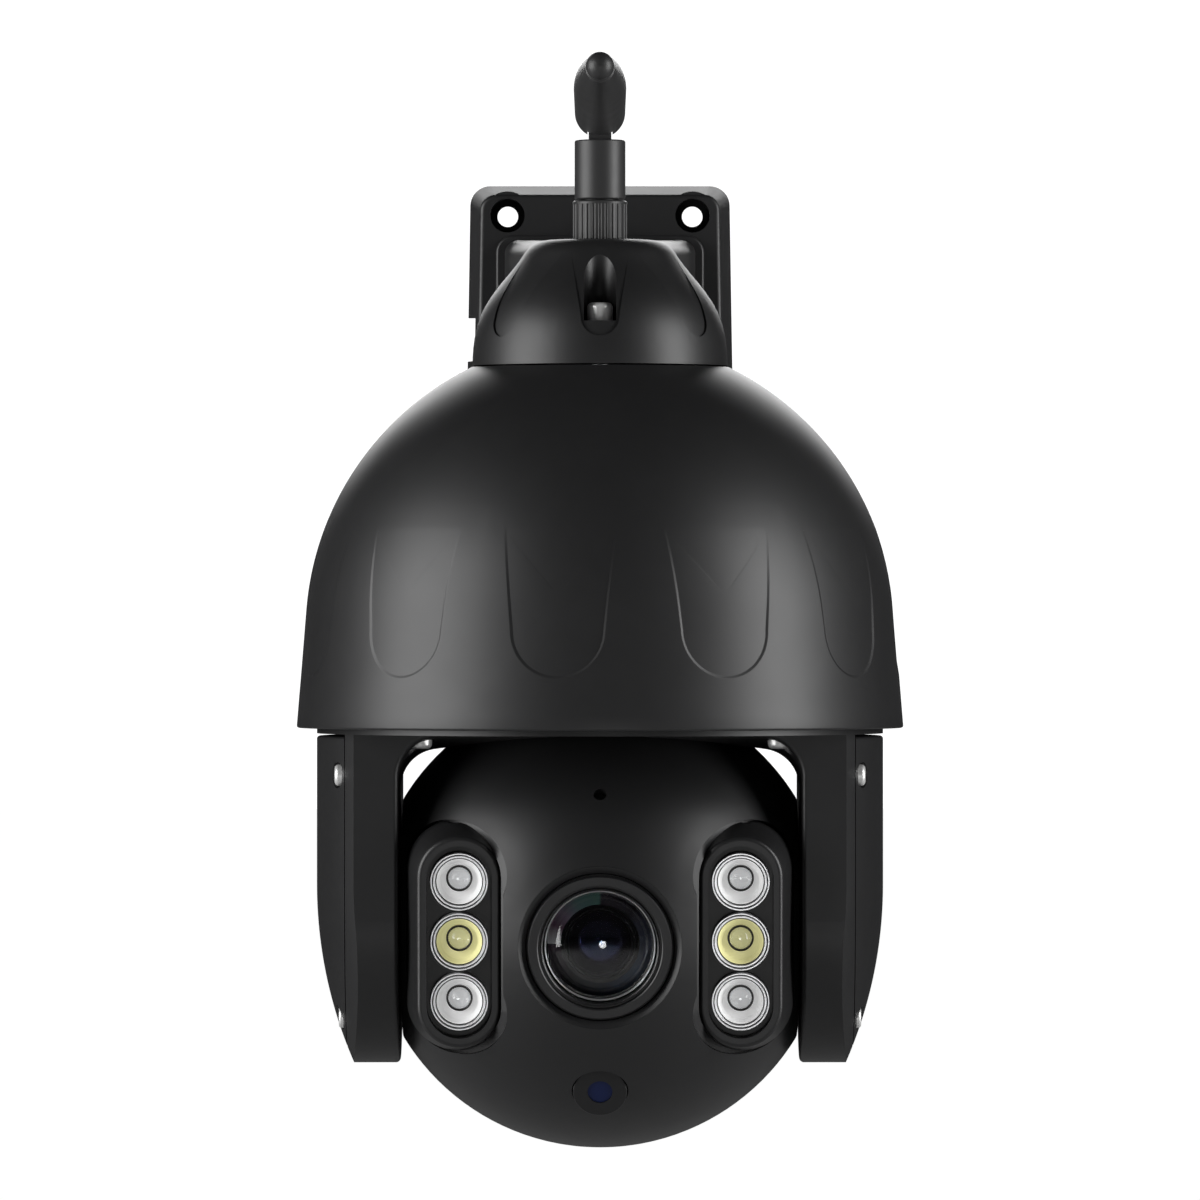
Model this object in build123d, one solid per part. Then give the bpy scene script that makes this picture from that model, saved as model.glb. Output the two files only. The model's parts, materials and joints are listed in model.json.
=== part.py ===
"""Wall-mounted pan-and-tilt dome camera: bracket, domed housing, fork and camera ball.

All lengths are in millimetres. The origin is the centre of the four wall screws, on the
wall, +Z is up, and the camera looks along -Y. Three local frames are used:
  wall frame  the frame of the whole part
  rim frame   origin on the pan axis, at the height of the dome's lower rim
  ball frame  origin on the tilt axis, with the lens looking along -Y
"""
from math import acos, asin, cos, pi, radians, sin, sqrt, tan
import os

from build123d import *

# Driving dimensions: places
PAN_Y = -110.0          # pan axis, measured from the wall
RIM_Z = -101.8          # height of the dome's lower rim
TILT_H = -48.5          # tilt axis, from the rim
TILT_REST = 6.3         # the lens looks this many degrees below level
ANTENNA_LIFT = 4.2      # the folded antenna rises this many degrees

# Wall plate and bracket arm
PLATE_TOP_W, PLATE_BOTTOM_W, PLATE_H = 68.8, 71.5, 81.8
PLATE_DEPTH, PLATE_INSET, PLATE_CORNER, PLATE_WALL = 12.0, 2.9, 5.3, 3.0
BOLT_DX, BOLT_DZ, BOLT_HOLE_R, BOLT_BORE_R = 49.0, 65.4, 2.75, 4.55
BOLT_BOSS_R, BOLT_SEAT = 6.4, 2.5
NOTCH_H, NOTCH_DEPTH = 11.5, 8.0
PAD_W, PAD_TOP, PAD_THICK = 55.1, 27.4, 1.0
ARM_W, ARM_NECK_W, ARM_CORNER = 52.3, 36.4, 3.7
ARM_TOP_WALL, ARM_TOP_NECK = 26.2, 22.4
ARM_FOOT_WALL = -33.0
PASSAGE_R, ARM_WALL = 10.0, 5.6

# Neck above the dome
NECK_BOTTOM, NECK_TOP, NECK_R, NECK_FLAT_R = 92.4, 124.5, 32.6, 12.4
NECK_SCREW_R, NECK_SLOT_HALF, NECK_SEAT = 24.0, 4.1, 103.2
FLUTE_STEP, FLUTE_DEPTH = 360 / 7, 0.7
NECK_SCREW_TURNS = (0, 2 * FLUTE_STEP, -2 * FLUTE_STEP)

# Dome shell
DOME_R, DOME_TOP, DOME_WALL = 77.5, 92.1, 3.0
CONE_DEG, CONE_TOP = 4.65, 30.3
DOME_ARC_R, DOME_ARC_END, CROWN_ARC_R = 75.5, 64.7, 53.55
PETALS, PETAL_PHASE, PETAL_DEPTH = 11, -8.1, 0.35
PETAL_LOW_W, PETAL_TOP_W, PETAL_ARC_Z = 11.9, 14.2, 25.0
PETAL_FADE_Z, PETAL_TOP_Z = 45.5, 50.5
DOME_BOSS_RING, DOME_BOSS_R = 64.0, 5.0

# Base plate and bearing
BASE_Z0, BASE_Z1, BASE_R = 18.0, 21.0, 72.2
BEARING_Z0, BEARING_Z1, BEARING_PITCH_R = 22.0, 29.0, 18.0
BEARING_BORE_R, BEARING_OUTER_R, BEARING_BALL_R = 15.0, 21.0, 1.95
HOUSING_R = 27.0
BOARD_Z, BOARD_R, BOARD_THICK, BOARD_POST_RING = 46.0, 50.0, 1.6, 43.0

# Fork
FORK_R, FORK_INNER, SEAM_X, SEAM_GAP = 72.3, 50.9, 64.4, 0.2
FORK_HALF, FORK_WALL = 37.0, 3.0
FORK_CURVE_Z, FORK_CURVE_R = -40.0, 113.5
DISC_Z0, DISC_Z1 = -1.4, 3.0
FOOT_Z, FOOT_EDGE_Z, ARCH_R, ARM_EDGE_R = -5.4, -1.9, 10.0, 1.2
POCKET_R, CROWN_R = 60.2, 63.4
COVER_TOP, COVER_WALL = -2.0, 2.4
FORK_SCREW_X, FORK_SCREW_Y, FORK_SCREW_SEAT = 45.5, 31.0, -2.6
COVER_SCREWS = [(28.5, -11.7), (12.5, -73.5)]      # y, height of each cover screw
COVER_HEADS = [1.9, 1.2]                           # height of each one's head
COVER_POST_R = 2.8
COVER_SCREW_SEAT = 0.8  # depth of cover under each head

# Drives
PAN_MODULE, PAN_TEETH, PAN_PINION_TEETH = 1.25, 72, 12
TILT_MODULE, TILT_TEETH, TILT_PINION_TEETH = 0.8, 60, 12
PAN_GEAR_Z0, PAN_GEAR_Z1 = 6.0, 11.0
PAN_MOTOR_DEG, PAN_MOTOR_R, PAN_MOTOR_TOP = 90.0, 14.0, 40.0
TILT_GEAR_X0, TILT_GEAR_X1 = 54.2, 57.2
TILT_MOTOR_X0, TILT_MOTOR_X1, TILT_MOTOR_R = 59.6, 68.0, 11.8
TILT_PLATE_X0, TILT_PLATE_X1, TILT_POST_Y = 58.6, 59.6, 17.0
PAN_FLANGE_R = 62.0
BACKLASH = 0.16
RUN = 0.05              # radial running clearance

# Ball
BALL_R, BALL_FLAT, BALL_WALL, BALL_EDGE = 58.7, 50.3, 3.0, 2.5
HUB_R, HUB_BOSS_R, HUB_BORE_R = 10.85, 7.0, 4.5
LENS_RIM_R, LENS_OPEN_R = 20.6, 18.7
BEZEL_R, WINDOW_R, WINDOW_Y = 18.5, 15.3, -54.8
POD_X, POD_HALF_W, POD_HALF_H, POD_FACE_Y = 35.4, 10.45, 26.7, -45.6
POD_DRAFT, POD_RECESS_W, POD_RECESS_H, POD_RECESS = 12.0, 8.2, 24.4, 4.0
POD_MID, POD_OPEN_W, POD_OPEN_H = 36.6, 12.3, 29.7
LED_PITCH, LED_CUP_R, LED_LENS_R = 15.2, 7.3, 6.6
SENSOR_DEG, SENSOR_FACE_DEG, SENSOR_R, SENSOR_EYE_R = -40.4, -20.8, 6.85, 3.15
MIC_DEG, MIC_R = 39.7, 1.7

# Antenna
HINGE_H, NUT_R, NUT_H, ANT_BASE_R, ANT_BASE_TOP = 157.1, 6.95, 10.1, 6.5, 150.1
ROD_R, ROD_MID_R, ROD_TIP_R, ROD_LENGTH = 6.45, 6.6, 3.5, 100.0
ROD_TAPER, ROD_END, ROD_END_R, ROD_NECK_R = 50.0, 91.5, 3.6, 2.7
NUT_RIBS, NUT_GROOVE_R = 28, 0.55
TONGUE_HALF, FORK_SLOT_HALF, PIN_R = 2.9, 3.2, 1.5
JACK_R = 3.1
ANT_GAP = 0.3

RIM = Pos(0, PAN_Y, RIM_Z)
BALL = RIM * Pos(0, 0, TILT_H) * Rot(TILT_REST, 0, 0)


# ---------- small helpers ----------

def zcyl(r, z0, z1, x=0.0, y=0.0):
    return Pos(x, y, (z0 + z1) / 2) * Cylinder(r, z1 - z0)


def xcyl(r, x0, x1, y=0.0, z=0.0):
    return Pos((x0 + x1) / 2, y, z) * Rot(0, 90, 0) * Cylinder(r, abs(x1 - x0))


def ycyl(r, y0, y1, x=0.0, z=0.0):
    return Pos(x, (y0 + y1) / 2, z) * Rot(90, 0, 0) * Cylinder(r, abs(y1 - y0))


def block(x0, x1, y0, y1, z0, z1):
    centre = Pos((x0 + x1) / 2, (y0 + y1) / 2, (z0 + z1) / 2)
    return centre * Box(abs(x1 - x0), abs(y1 - y0), abs(z1 - z0))


def ring_places(radius, count, start=0.0):
    """Points round a circle, counted from the front (-Y) towards +X."""
    angles = [radians(start + 360 * i / count) for i in range(count)]
    return [(radius * sin(a), -radius * cos(a)) for a in angles]


def at_azimuth(shape, deg):
    """Turn a shape that faces the front round the Z axis, towards +X."""
    return Rot(0, 0, deg) * shape


def turned(outline_edges):
    """Revolve a closed outline in the XZ plane about Z."""
    return revolve(Plane.XZ * make_face(outline_edges), Axis.Z, 360)


def facing_wall(sketch, y=0.0):
    """Stand an XY sketch up so that it faces -Y, at the given y."""
    return Plane(origin=(0, y, 0), x_dir=(1, 0, 0), z_dir=(0, -1, 0)) * sketch


def pill(half_w, half_h):
    """Upright round-ended outline."""
    return Rot(0, 0, 90) * SlotOverall(2 * half_h, 2 * half_w)


def gear_outline(teeth, module, turn_deg):
    """Involute-like outline with one tooth centred at turn_deg."""
    pitch_r = teeth * module / 2
    tip_r = pitch_r + module
    root_r = pitch_r - 1.2 * module
    base_r = pitch_r * cos(radians(20))
    half_pitch = (pi * module / 2 - BACKLASH) / 2 / pitch_r

    def involute(r):
        if r <= base_r:
            return 0.0
        angle = acos(base_r / r)
        return tan(angle) - angle

    flank = [root_r, max(base_r, root_r + 0.05), pitch_r, (pitch_r + tip_r) / 2, tip_r]
    halves = [(r, half_pitch + involute(pitch_r) - involute(r)) for r in flank]
    points = []
    for i in range(teeth):
        middle = radians(turn_deg) + 2 * pi * i / teeth
        for r, half in halves:
            points.append((r * cos(middle - half), r * sin(middle - half)))
        for r, half in reversed(halves):
            points.append((r * cos(middle + half), r * sin(middle + half)))
    return Polygon(*points, align=None)


def pan_head_screw(head_r, head_h, shank_r, length, drive_r=1.2):
    """Screw with its head's underside at the origin and its shank along -Z."""
    head = zcyl(head_r, 0, head_h)
    head = fillet(head.edges().group_by(Axis.Z)[-1], min(head_h * 0.55, head_r * 0.4))
    socket = Pos(0, 0, head_h) * extrude(RegularPolygon(drive_r, 6), amount=-head_h * 0.55)
    return head - socket + zcyl(shank_r, -length, 0)


# ---------- wall bracket ----------

def plate_outline(inset):
    top = PLATE_TOP_W / 2 - inset
    bottom = PLATE_BOTTOM_W / 2 - inset
    half_h = PLATE_H / 2 - inset
    outline = Polygon((-bottom, -half_h), (bottom, -half_h), (top, half_h), (-top, half_h), align=None)
    return fillet(outline.vertices(), max(PLATE_CORNER - inset * 0.4, 1.0))


def wall_plate():
    """Hollow tapered plate, open at the wall, with four deep screw bosses."""
    plate = loft([facing_wall(plate_outline(0.0)), facing_wall(plate_outline(PLATE_INSET), -PLATE_DEPTH)])
    plate = fillet(plate.faces().sort_by(Axis.Y)[0].edges(), 1.2)
    cavity = loft([facing_wall(plate_outline(PLATE_WALL)),
                   facing_wall(plate_outline(PLATE_INSET + PLATE_WALL), PLATE_WALL - PLATE_DEPTH)])
    plate -= cavity
    for x in (-BOLT_DX / 2, BOLT_DX / 2):
        for z in (-BOLT_DZ / 2, BOLT_DZ / 2):
            plate += ycyl(BOLT_BOSS_R, 0, -PLATE_DEPTH + 1.0, x, z)
            plate -= ycyl(BOLT_BORE_R, -BOLT_SEAT, -PLATE_DEPTH - 1, x, z)
            plate -= ycyl(BOLT_HOLE_R, 1, -PLATE_DEPTH, x, z)
    notch_end = -PLATE_TOP_W / 2 + PLATE_WALL + 2
    notch = block(-PLATE_BOTTOM_W, notch_end, -NOTCH_DEPTH, 1, -NOTCH_H / 2, NOTCH_H / 2)
    return plate - notch


def arm_plan(inset):
    """Column whose plan is the arm's, narrowing from the wall to the neck."""
    wide, narrow = ARM_W / 2 - inset, ARM_NECK_W / 2 - inset
    plan = Polygon((-wide, 0), (wide, 0), (narrow, PAN_Y), (-narrow, PAN_Y), align=None)
    return extrude(plan, amount=60, both=True)


def long_edges(solid, length):
    """Edges that run more than the given length along Y."""
    return solid.edges().filter_by(lambda e: abs((e @ 0).Y - (e @ 1).Y) > length)


def bracket_arm():
    """Box arm from the plate forward to the neck, with its root pad."""
    neck_low = RIM_Z + NECK_BOTTOM
    side = Polygon((PAN_Y, ARM_TOP_NECK), (-PLATE_DEPTH + 1, ARM_TOP_WALL),
                   (-PLATE_DEPTH + 1, ARM_FOOT_WALL), (PAN_Y + 40, neck_low), (PAN_Y, neck_low), align=None)
    arm = extrude(Plane.YZ * side, amount=ARM_W / 2, both=True) & arm_plan(0.0)
    arm = fillet(long_edges(arm, 45), ARM_CORNER)
    pad_low = ARM_FOOT_WALL - 1.2
    pad = RectangleRounded(PAD_W, PAD_TOP - pad_low, ARM_CORNER + 1)
    pad = facing_wall(Pos(0, (PAD_TOP + pad_low) / 2) * pad, -PLATE_DEPTH + 0.5)
    pad = extrude(pad, amount=PAD_THICK + 0.5)
    return arm + fillet(pad.faces().sort_by(Axis.Y)[0].edges(), PAD_THICK * 0.7)


def bell_outline(inset, fade_z):
    """Bell outline; inset narrows it below fade_z by an amount that grows downwards."""
    def radius(r, z):
        return r - inset * min(1.0, max(0.0, (fade_z - z) / (fade_z - NECK_BOTTOM - 10)))

    stations = [(NECK_R, NECK_BOTTOM), (29.3, 107.6), (20.25, 119.7), (NECK_FLAT_R, NECK_TOP)]
    shoulder = [(radius(r, z), z) for r, z in stations]
    curve = Spline(*shoulder, tangents=[(0, 1), (-1, 0)])
    sides = Polyline((shoulder[-1]), (0, NECK_TOP), (0, NECK_BOTTOM), (shoulder[0]))
    return curve + sides


def flute_cutter():
    """U-shaped outline of one flute, standing in front of the neck."""
    low_w, top_w, arc_z, top_z = 4.9, 7.4, 104.3, 121.0
    sides = Polyline((-low_w, arc_z), (-top_w, top_z), (top_w, top_z), (low_w, arc_z))
    face = make_face(sides + ThreePointArc((low_w, arc_z), (0, arc_z - low_w), (-low_w, arc_z)))
    return extrude(facing_wall(face), amount=NECK_R + 5)


def neck():
    """Bell-shaped neck with shallow flutes."""
    bell = turned(bell_outline(0.0, NECK_TOP))
    skin = bell - turned(bell_outline(FLUTE_DEPTH, 120.0))
    for i in (-2, -1, 0, 1, 2):
        bell -= skin & at_azimuth(flute_cutter(), i * FLUTE_STEP)
    return bell


def neck_slot():
    """Upright slot in the front flute, open outwards, with the seat of a screw at its foot."""
    top = NECK_TOP + 10
    slot = block(-NECK_SLOT_HALF, NECK_SLOT_HALF, -NECK_R - 2, -NECK_SCREW_R, NECK_SEAT, top)
    return slot + zcyl(NECK_SLOT_HALF, NECK_SEAT, top, 0, -NECK_SCREW_R)


def neck_screw_places():
    return [(NECK_SCREW_R * sin(radians(a)), -NECK_SCREW_R * cos(radians(a))) for a in NECK_SCREW_TURNS]


def cable_tunnel():
    """Hollow of the arm, from the plate's cavity to the bore of the neck."""
    mouth = -PLATE_DEPTH + PLATE_WALL + 0.5
    side = Polygon((PAN_Y, ARM_TOP_NECK - 6), (mouth, ARM_TOP_WALL - 6), (mouth, ARM_FOOT_WALL + 6),
                   (PAN_Y + 40, RIM_Z + NECK_BOTTOM + 6), (PAN_Y, RIM_Z + NECK_BOTTOM + 6), align=None)
    tunnel = extrude(Plane.YZ * side, amount=ARM_W / 2, both=True) & arm_plan(ARM_WALL)
    return fillet(long_edges(tunnel, 45), 3.0)


def wall_bracket():
    casting = wall_plate() + bracket_arm() + RIM * neck()
    for turn in NECK_SCREW_TURNS:
        casting -= RIM * at_azimuth(neck_slot(), turn)
    for x, y in neck_screw_places():
        casting -= RIM * zcyl(2.2, NECK_BOTTOM - 1, NECK_SEAT + 1, x, y)
    neck_low, neck_high = RIM_Z + NECK_BOTTOM, RIM_Z + NECK_TOP
    casting -= cable_tunnel()
    casting -= zcyl(PASSAGE_R, neck_low - 1, neck_high - 6.0, 0, PAN_Y)
    casting -= zcyl(JACK_R + 0.1, neck_high - 7.0, neck_high + 1, 0, PAN_Y)
    return casting


def cable_grommet():
    """Rubber bush where the cable passes from the neck into the dome."""
    inside = DOME_TOP - DOME_WALL
    bush = zcyl(PASSAGE_R, inside, NECK_BOTTOM + 2.0) + zcyl(PASSAGE_R + 2.5, inside - 2.0, inside)
    return bush - zcyl(3.4, inside - 3, NECK_BOTTOM + 3)


def neck_seal():
    return zcyl(17.0, DOME_TOP - 1.2, DOME_TOP + 0.3) - zcyl(14.5, DOME_TOP - 2, DOME_TOP + 1)


def neck_screws():
    screw = pan_head_screw(3.3, 4.7, 2.0, 18.0, 1.6)
    return [Pos(x, y, NECK_SEAT) * screw for x, y in neck_screw_places()]


# ---------- dome ----------

def dome_solid(inset):
    """Solid of revolution inside the dome's skin, set in by the given amount."""
    lean = radians(CONE_DEG)
    cone_r = DOME_R - tan(lean) * CONE_TOP
    c1 = (cone_r - DOME_ARC_R * cos(lean), CONE_TOP - DOME_ARC_R * sin(lean))
    r1, r2 = DOME_ARC_R - inset, CROWN_ARC_R - inset
    turn = radians(DOME_ARC_END)
    step = DOME_ARC_R - CROWN_ARC_R
    c2 = (c1[0] + step * cos(turn), c1[1] + step * sin(turn))
    top = DOME_TOP - inset
    last = asin((top - c2[1]) / r2)
    start = (c1[0] + r1 * cos(lean), c1[1] + r1 * sin(lean))
    low = (DOME_R - inset / cos(lean), 0)
    joint = (c1[0] + r1 * cos(turn), c1[1] + r1 * sin(turn))
    edge = (c2[0] + r2 * cos(last), top)
    mid1, mid2 = (lean + turn) / 2, (turn + last) / 2
    outline = Line(low, start)
    outline += ThreePointArc(start, (c1[0] + r1 * cos(mid1), c1[1] + r1 * sin(mid1)), joint)
    outline += ThreePointArc(joint, (c2[0] + r2 * cos(mid2), c2[1] + r2 * sin(mid2)), edge)
    outline += Polyline(edge, (0, top), (0, 0), low)
    return turned(outline)


def petal_cutter():
    sides = Polyline((-PETAL_LOW_W, PETAL_ARC_Z), (-PETAL_TOP_W, PETAL_TOP_Z),
                     (PETAL_TOP_W, PETAL_TOP_Z), (PETAL_LOW_W, PETAL_ARC_Z))
    arc = ThreePointArc((PETAL_LOW_W, PETAL_ARC_Z), (0, PETAL_ARC_Z - PETAL_LOW_W),
                        (-PETAL_LOW_W, PETAL_ARC_Z))
    return extrude(facing_wall(make_face(sides + arc)), amount=DOME_R + 5)


def dome_radius(z, inset):
    """Radius of the dome's skin above the cone, set in by the given amount."""
    lean = radians(CONE_DEG)
    centre_r = DOME_R - tan(lean) * CONE_TOP - DOME_ARC_R * cos(lean)
    centre_z = CONE_TOP - DOME_ARC_R * sin(lean)
    return centre_r + sqrt((DOME_ARC_R - inset) ** 2 - (z - centre_z) ** 2)


def petal_skin():
    """Layer of the dome that the petals cut away: even, then thinning out to nothing at their tops."""
    layer = dome_solid(0.0) - dome_solid(PETAL_DEPTH)
    fade = Cone(dome_radius(PETAL_FADE_Z, PETAL_DEPTH), dome_radius(PETAL_TOP_Z, 0.0),
                PETAL_TOP_Z - PETAL_FADE_Z, align=(Align.CENTER, Align.CENTER, Align.MIN))
    return layer - Pos(0, 0, PETAL_FADE_Z) * fade


def dome_shell():
    """Domed housing with shallow petal panels and six inner bosses."""
    outer = dome_solid(0.0)
    shell = outer - dome_solid(DOME_WALL)
    for x, y in ring_places(DOME_BOSS_RING, 6, 30):
        boss = zcyl(DOME_BOSS_R, BASE_Z1, DOME_TOP, x, y) & dome_solid(DOME_WALL / 2)
        shell += boss - zcyl(1.3, BASE_Z1 - 1, BASE_Z1 + 12, x, y)
    for x, y in neck_screw_places():
        shell += zcyl(5.0, DOME_TOP - 12, DOME_TOP - 1, x, y)
        shell -= zcyl(2.0, DOME_TOP - 13, DOME_TOP + 1, x, y)
    skin = petal_skin()
    for i in range(PETALS):
        shell -= skin & at_azimuth(petal_cutter(), PETAL_PHASE + 360 * i / PETALS)
    shell -= zcyl(PASSAGE_R, DOME_TOP - 5, DOME_TOP + 1)
    return shell - (zcyl(17.1, DOME_TOP - 1.2, DOME_TOP + 1) - zcyl(14.4, DOME_TOP - 2, DOME_TOP + 2))


def base_plate():
    """Plate that closes the dome and holds the bearing's outer ring."""
    plate = zcyl(BASE_R, BASE_Z0, BASE_Z1)
    plate += zcyl(HOUSING_R, BASE_Z0, BEARING_Z1 + 1.5)
    plate -= zcyl(BEARING_OUTER_R, BASE_Z0 - 1, BEARING_Z1)
    plate -= zcyl(BEARING_OUTER_R - 2, BASE_Z0, BEARING_Z1 + 3)
    for x, y in ring_places(DOME_BOSS_RING, 6, 30):
        plate -= zcyl(1.7, BASE_Z0 - 1, BASE_Z1 + 1, x, y)
    x, y = pan_motor_place()
    plate -= zcyl(9.6, BASE_Z0 - 1, BASE_Z1 + 1, x, y)
    for place in pan_motor_screw_places():
        plate -= zcyl(1.3, BASE_Z0 - 1, BASE_Z1 + 1, *place)
    for place in ring_places(BOARD_POST_RING, 4, 45):
        plate -= zcyl(1.3, BASE_Z0 - 1, BASE_Z1 + 1, *place)
    return plate


def base_plate_screws():
    screw = Rot(180, 0, 0) * pan_head_screw(2.8, 1.8, 1.25, 13.0)
    return [Pos(x, y, BASE_Z0) * screw for x, y in ring_places(DOME_BOSS_RING, 6, 30)]


def bearing_ring(inner_r, outer_r):
    ring = zcyl(outer_r, BEARING_Z0, BEARING_Z1) - zcyl(inner_r, BEARING_Z0 - 1, BEARING_Z1 + 1)
    race = Pos(0, 0, (BEARING_Z0 + BEARING_Z1) / 2) * Torus(BEARING_PITCH_R, BEARING_BALL_R + RUN)
    return ring - race


def bearing_outer_ring():
    return bearing_ring(BEARING_PITCH_R + 0.8, BEARING_OUTER_R)


def bearing_inner_ring():
    return bearing_ring(BEARING_BORE_R, BEARING_PITCH_R - 0.8)


def bearing_balls():
    middle = (BEARING_Z0 + BEARING_Z1) / 2
    return [Pos(x, y, middle) * Sphere(BEARING_BALL_R) for x, y in ring_places(BEARING_PITCH_R, 16)]


# ---------- parts inside the dome ----------

def pan_motor_place():
    distance = (PAN_TEETH + PAN_PINION_TEETH) * PAN_MODULE / 2
    return distance * cos(radians(PAN_MOTOR_DEG)), distance * sin(radians(PAN_MOTOR_DEG))


def pan_motor_screw_places():
    x, y = pan_motor_place()
    across = radians(PAN_MOTOR_DEG + 90)
    return [(x + s * 17.5 * cos(across), y + s * 17.5 * sin(across)) for s in (-1, 1)]


def pan_motor():
    """Can motor standing on the base plate, with two fixing ears and a hollow nose."""
    x, y = pan_motor_place()
    can = fillet(zcyl(PAN_MOTOR_R, BASE_Z1, PAN_MOTOR_TOP, x, y).edges().group_by(Axis.Z)[-1], 1.5)
    ears = Pos(x, y, BASE_Z1 + 0.5) * Rot(0, 0, PAN_MOTOR_DEG + 90) * extrude(SlotOverall(42, 7), amount=1.0)
    motor = can + ears - zcyl(2.5 + RUN, BASE_Z1 - 1, PAN_MOTOR_TOP - 3, x, y)
    for place in pan_motor_screw_places():
        motor -= zcyl(1.5, BASE_Z1 - 1, BASE_Z1 + 3, *place)
    return motor - block(x - 22, x + 22, y - 22, y + 22, BASE_Z1 - 1, BASE_Z1)


def pan_motor_screws():
    screw = pan_head_screw(2.4, 1.6, 1.25, 4.0)
    return [Pos(x, y, BASE_Z1 + 1.5) * screw for x, y in pan_motor_screw_places()]


def pan_pinion():
    """Steel pinion on its motor shaft, a tooth pointing at the pan axis."""
    x, y = pan_motor_place()
    outline = gear_outline(PAN_PINION_TEETH, PAN_MODULE, PAN_MOTOR_DEG + 180)
    low = PAN_GEAR_Z0 + 0.4
    pinion = Pos(x, y, low) * extrude(outline, amount=PAN_GEAR_Z1 + 0.6 - low)
    return pinion + zcyl(2.5, low, PAN_MOTOR_TOP - 4, x, y)


def pan_gear():
    """Ring gear on the hub flange, a gap facing the pinion."""
    gap_turn = PAN_MOTOR_DEG + 180 / PAN_TEETH
    wheel = extrude(gear_outline(PAN_TEETH, PAN_MODULE, gap_turn), amount=PAN_GEAR_Z1 - PAN_GEAR_Z0)
    return Pos(0, 0, PAN_GEAR_Z0) * wheel - zcyl(34.5, PAN_GEAR_Z0 - 1, PAN_GEAR_Z1 + 1)


def pan_hub():
    """Flange, domed crown over the ball and hollow hub for the bearing."""
    z0 = DISC_Z1
    tilt_centre = Pos(0, 0, TILT_H)
    crown = (tilt_centre * Sphere(CROWN_R)) & block(-64, 64, -64, 64, z0, 20)
    hub = zcyl(PAN_FLANGE_R, z0, PAN_GEAR_Z0) + crown + zcyl(17.0, 8.0, BEARING_Z0)
    hub += zcyl(BEARING_BORE_R, BEARING_Z0, BEARING_Z1 + 4.0)
    hub -= tilt_centre * Sphere(POCKET_R)
    hub -= zcyl(11.0, 8.0, BEARING_Z1 + 5)
    for x, y in fork_screw_places():
        hub -= zcyl(1.5, z0 - 1, PAN_GEAR_Z0 + 1, x, y)
    return hub


def bearing_locknut():
    nut = Pos(0, 0, BEARING_Z1) * extrude(RegularPolygon(17.9, 12), amount=3.0)
    return nut - zcyl(BEARING_BORE_R, BEARING_Z1 - 1, BEARING_Z1 + 4)


def slip_ring_rotor():
    return zcyl(11.0, 20.0, 26.0) + zcyl(4.0, 26.0, BOARD_Z - 2.0) - zcyl(2.0, 19, BOARD_Z)


def slip_ring_stator():
    stator = zcyl(11.0, 34.5, BOARD_Z) + zcyl(15.0, BOARD_Z - 2.0, BOARD_Z)
    return stator - zcyl(4.0 + RUN, 34, BOARD_Z - 1.0) - zcyl(3.0, 34, BOARD_Z + 1)


def main_board():
    """Round circuit board with its larger components soldered on."""
    board = zcyl(BOARD_R, BOARD_Z, BOARD_Z + BOARD_THICK) - zcyl(3.0, BOARD_Z - 1, BOARD_Z + 3)
    for place in ring_places(BOARD_POST_RING, 4, 45):
        board -= zcyl(1.4, BOARD_Z - 1, BOARD_Z + 3, *place)
    top = BOARD_Z + BOARD_THICK
    for x, y, w, d, h in [(-14, -12, 18, 18, 2.2), (14, -16, 12, 12, 1.6), (-22, 14, 14, 10, 9.0),
                          (8, 24, 16, 9, 6.0), (26, 8, 6, 22, 5.0), (-36, -6, 6, 12, 5.0)]:
        board += block(x - w / 2, x + w / 2, y - d / 2, y + d / 2, top - 0.2, top + h)
    for x, y in [(20, -32), (30, -24), (-6, 36)]:
        board += zcyl(3.5, top - 0.2, top + 8.5, x, y)
    return board


def board_posts():
    post = extrude(RegularPolygon(2.9, 6), amount=BOARD_Z - BASE_Z1) + zcyl(1.25, -3.0, 0.1)
    post += zcyl(1.3, BOARD_Z - BASE_Z1 - 0.1, BOARD_Z - BASE_Z1 + BOARD_THICK)
    post += zcyl(2.5, BOARD_Z - BASE_Z1 + BOARD_THICK, BOARD_Z - BASE_Z1 + BOARD_THICK + 1.6)
    return [Pos(x, y, BASE_Z1) * post for x, y in ring_places(BOARD_POST_RING, 4, 45)]


# ---------- fork ----------

def fork_envelope(inset):
    """Solid of revolution that bounds both arms: straight above, drawn in below."""
    r, sweep_r = FORK_R - inset, FORK_CURVE_R - inset
    centre_x = FORK_R - FORK_CURVE_R
    low = -90.0
    half = asin((FORK_CURVE_Z - low) / sweep_r)
    mid = (centre_x + sweep_r * cos(half / 2), FORK_CURVE_Z - sweep_r * sin(half / 2))
    end = (centre_x + sweep_r * cos(half), low)
    outline = Line((r, 6), (r, FORK_CURVE_Z)) + ThreePointArc((r, FORK_CURVE_Z), mid, end)
    return turned(outline + Polyline(end, (0, low), (0, 6), (r, 6)))


def arm_slab(side, x0, x1, half, top):
    """Slab with a round lower end about the tilt axis, between two x distances."""
    outline = Pos(0, (top + TILT_H) / 2) * Rectangle(2 * half, top - TILT_H) + Pos(0, TILT_H) * Circle(half)
    slab = extrude(Plane.YZ * outline, amount=x1 - x0)
    return Pos(x0, 0, 0) * slab if side > 0 else Pos(-x1, 0, 0) * slab


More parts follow.
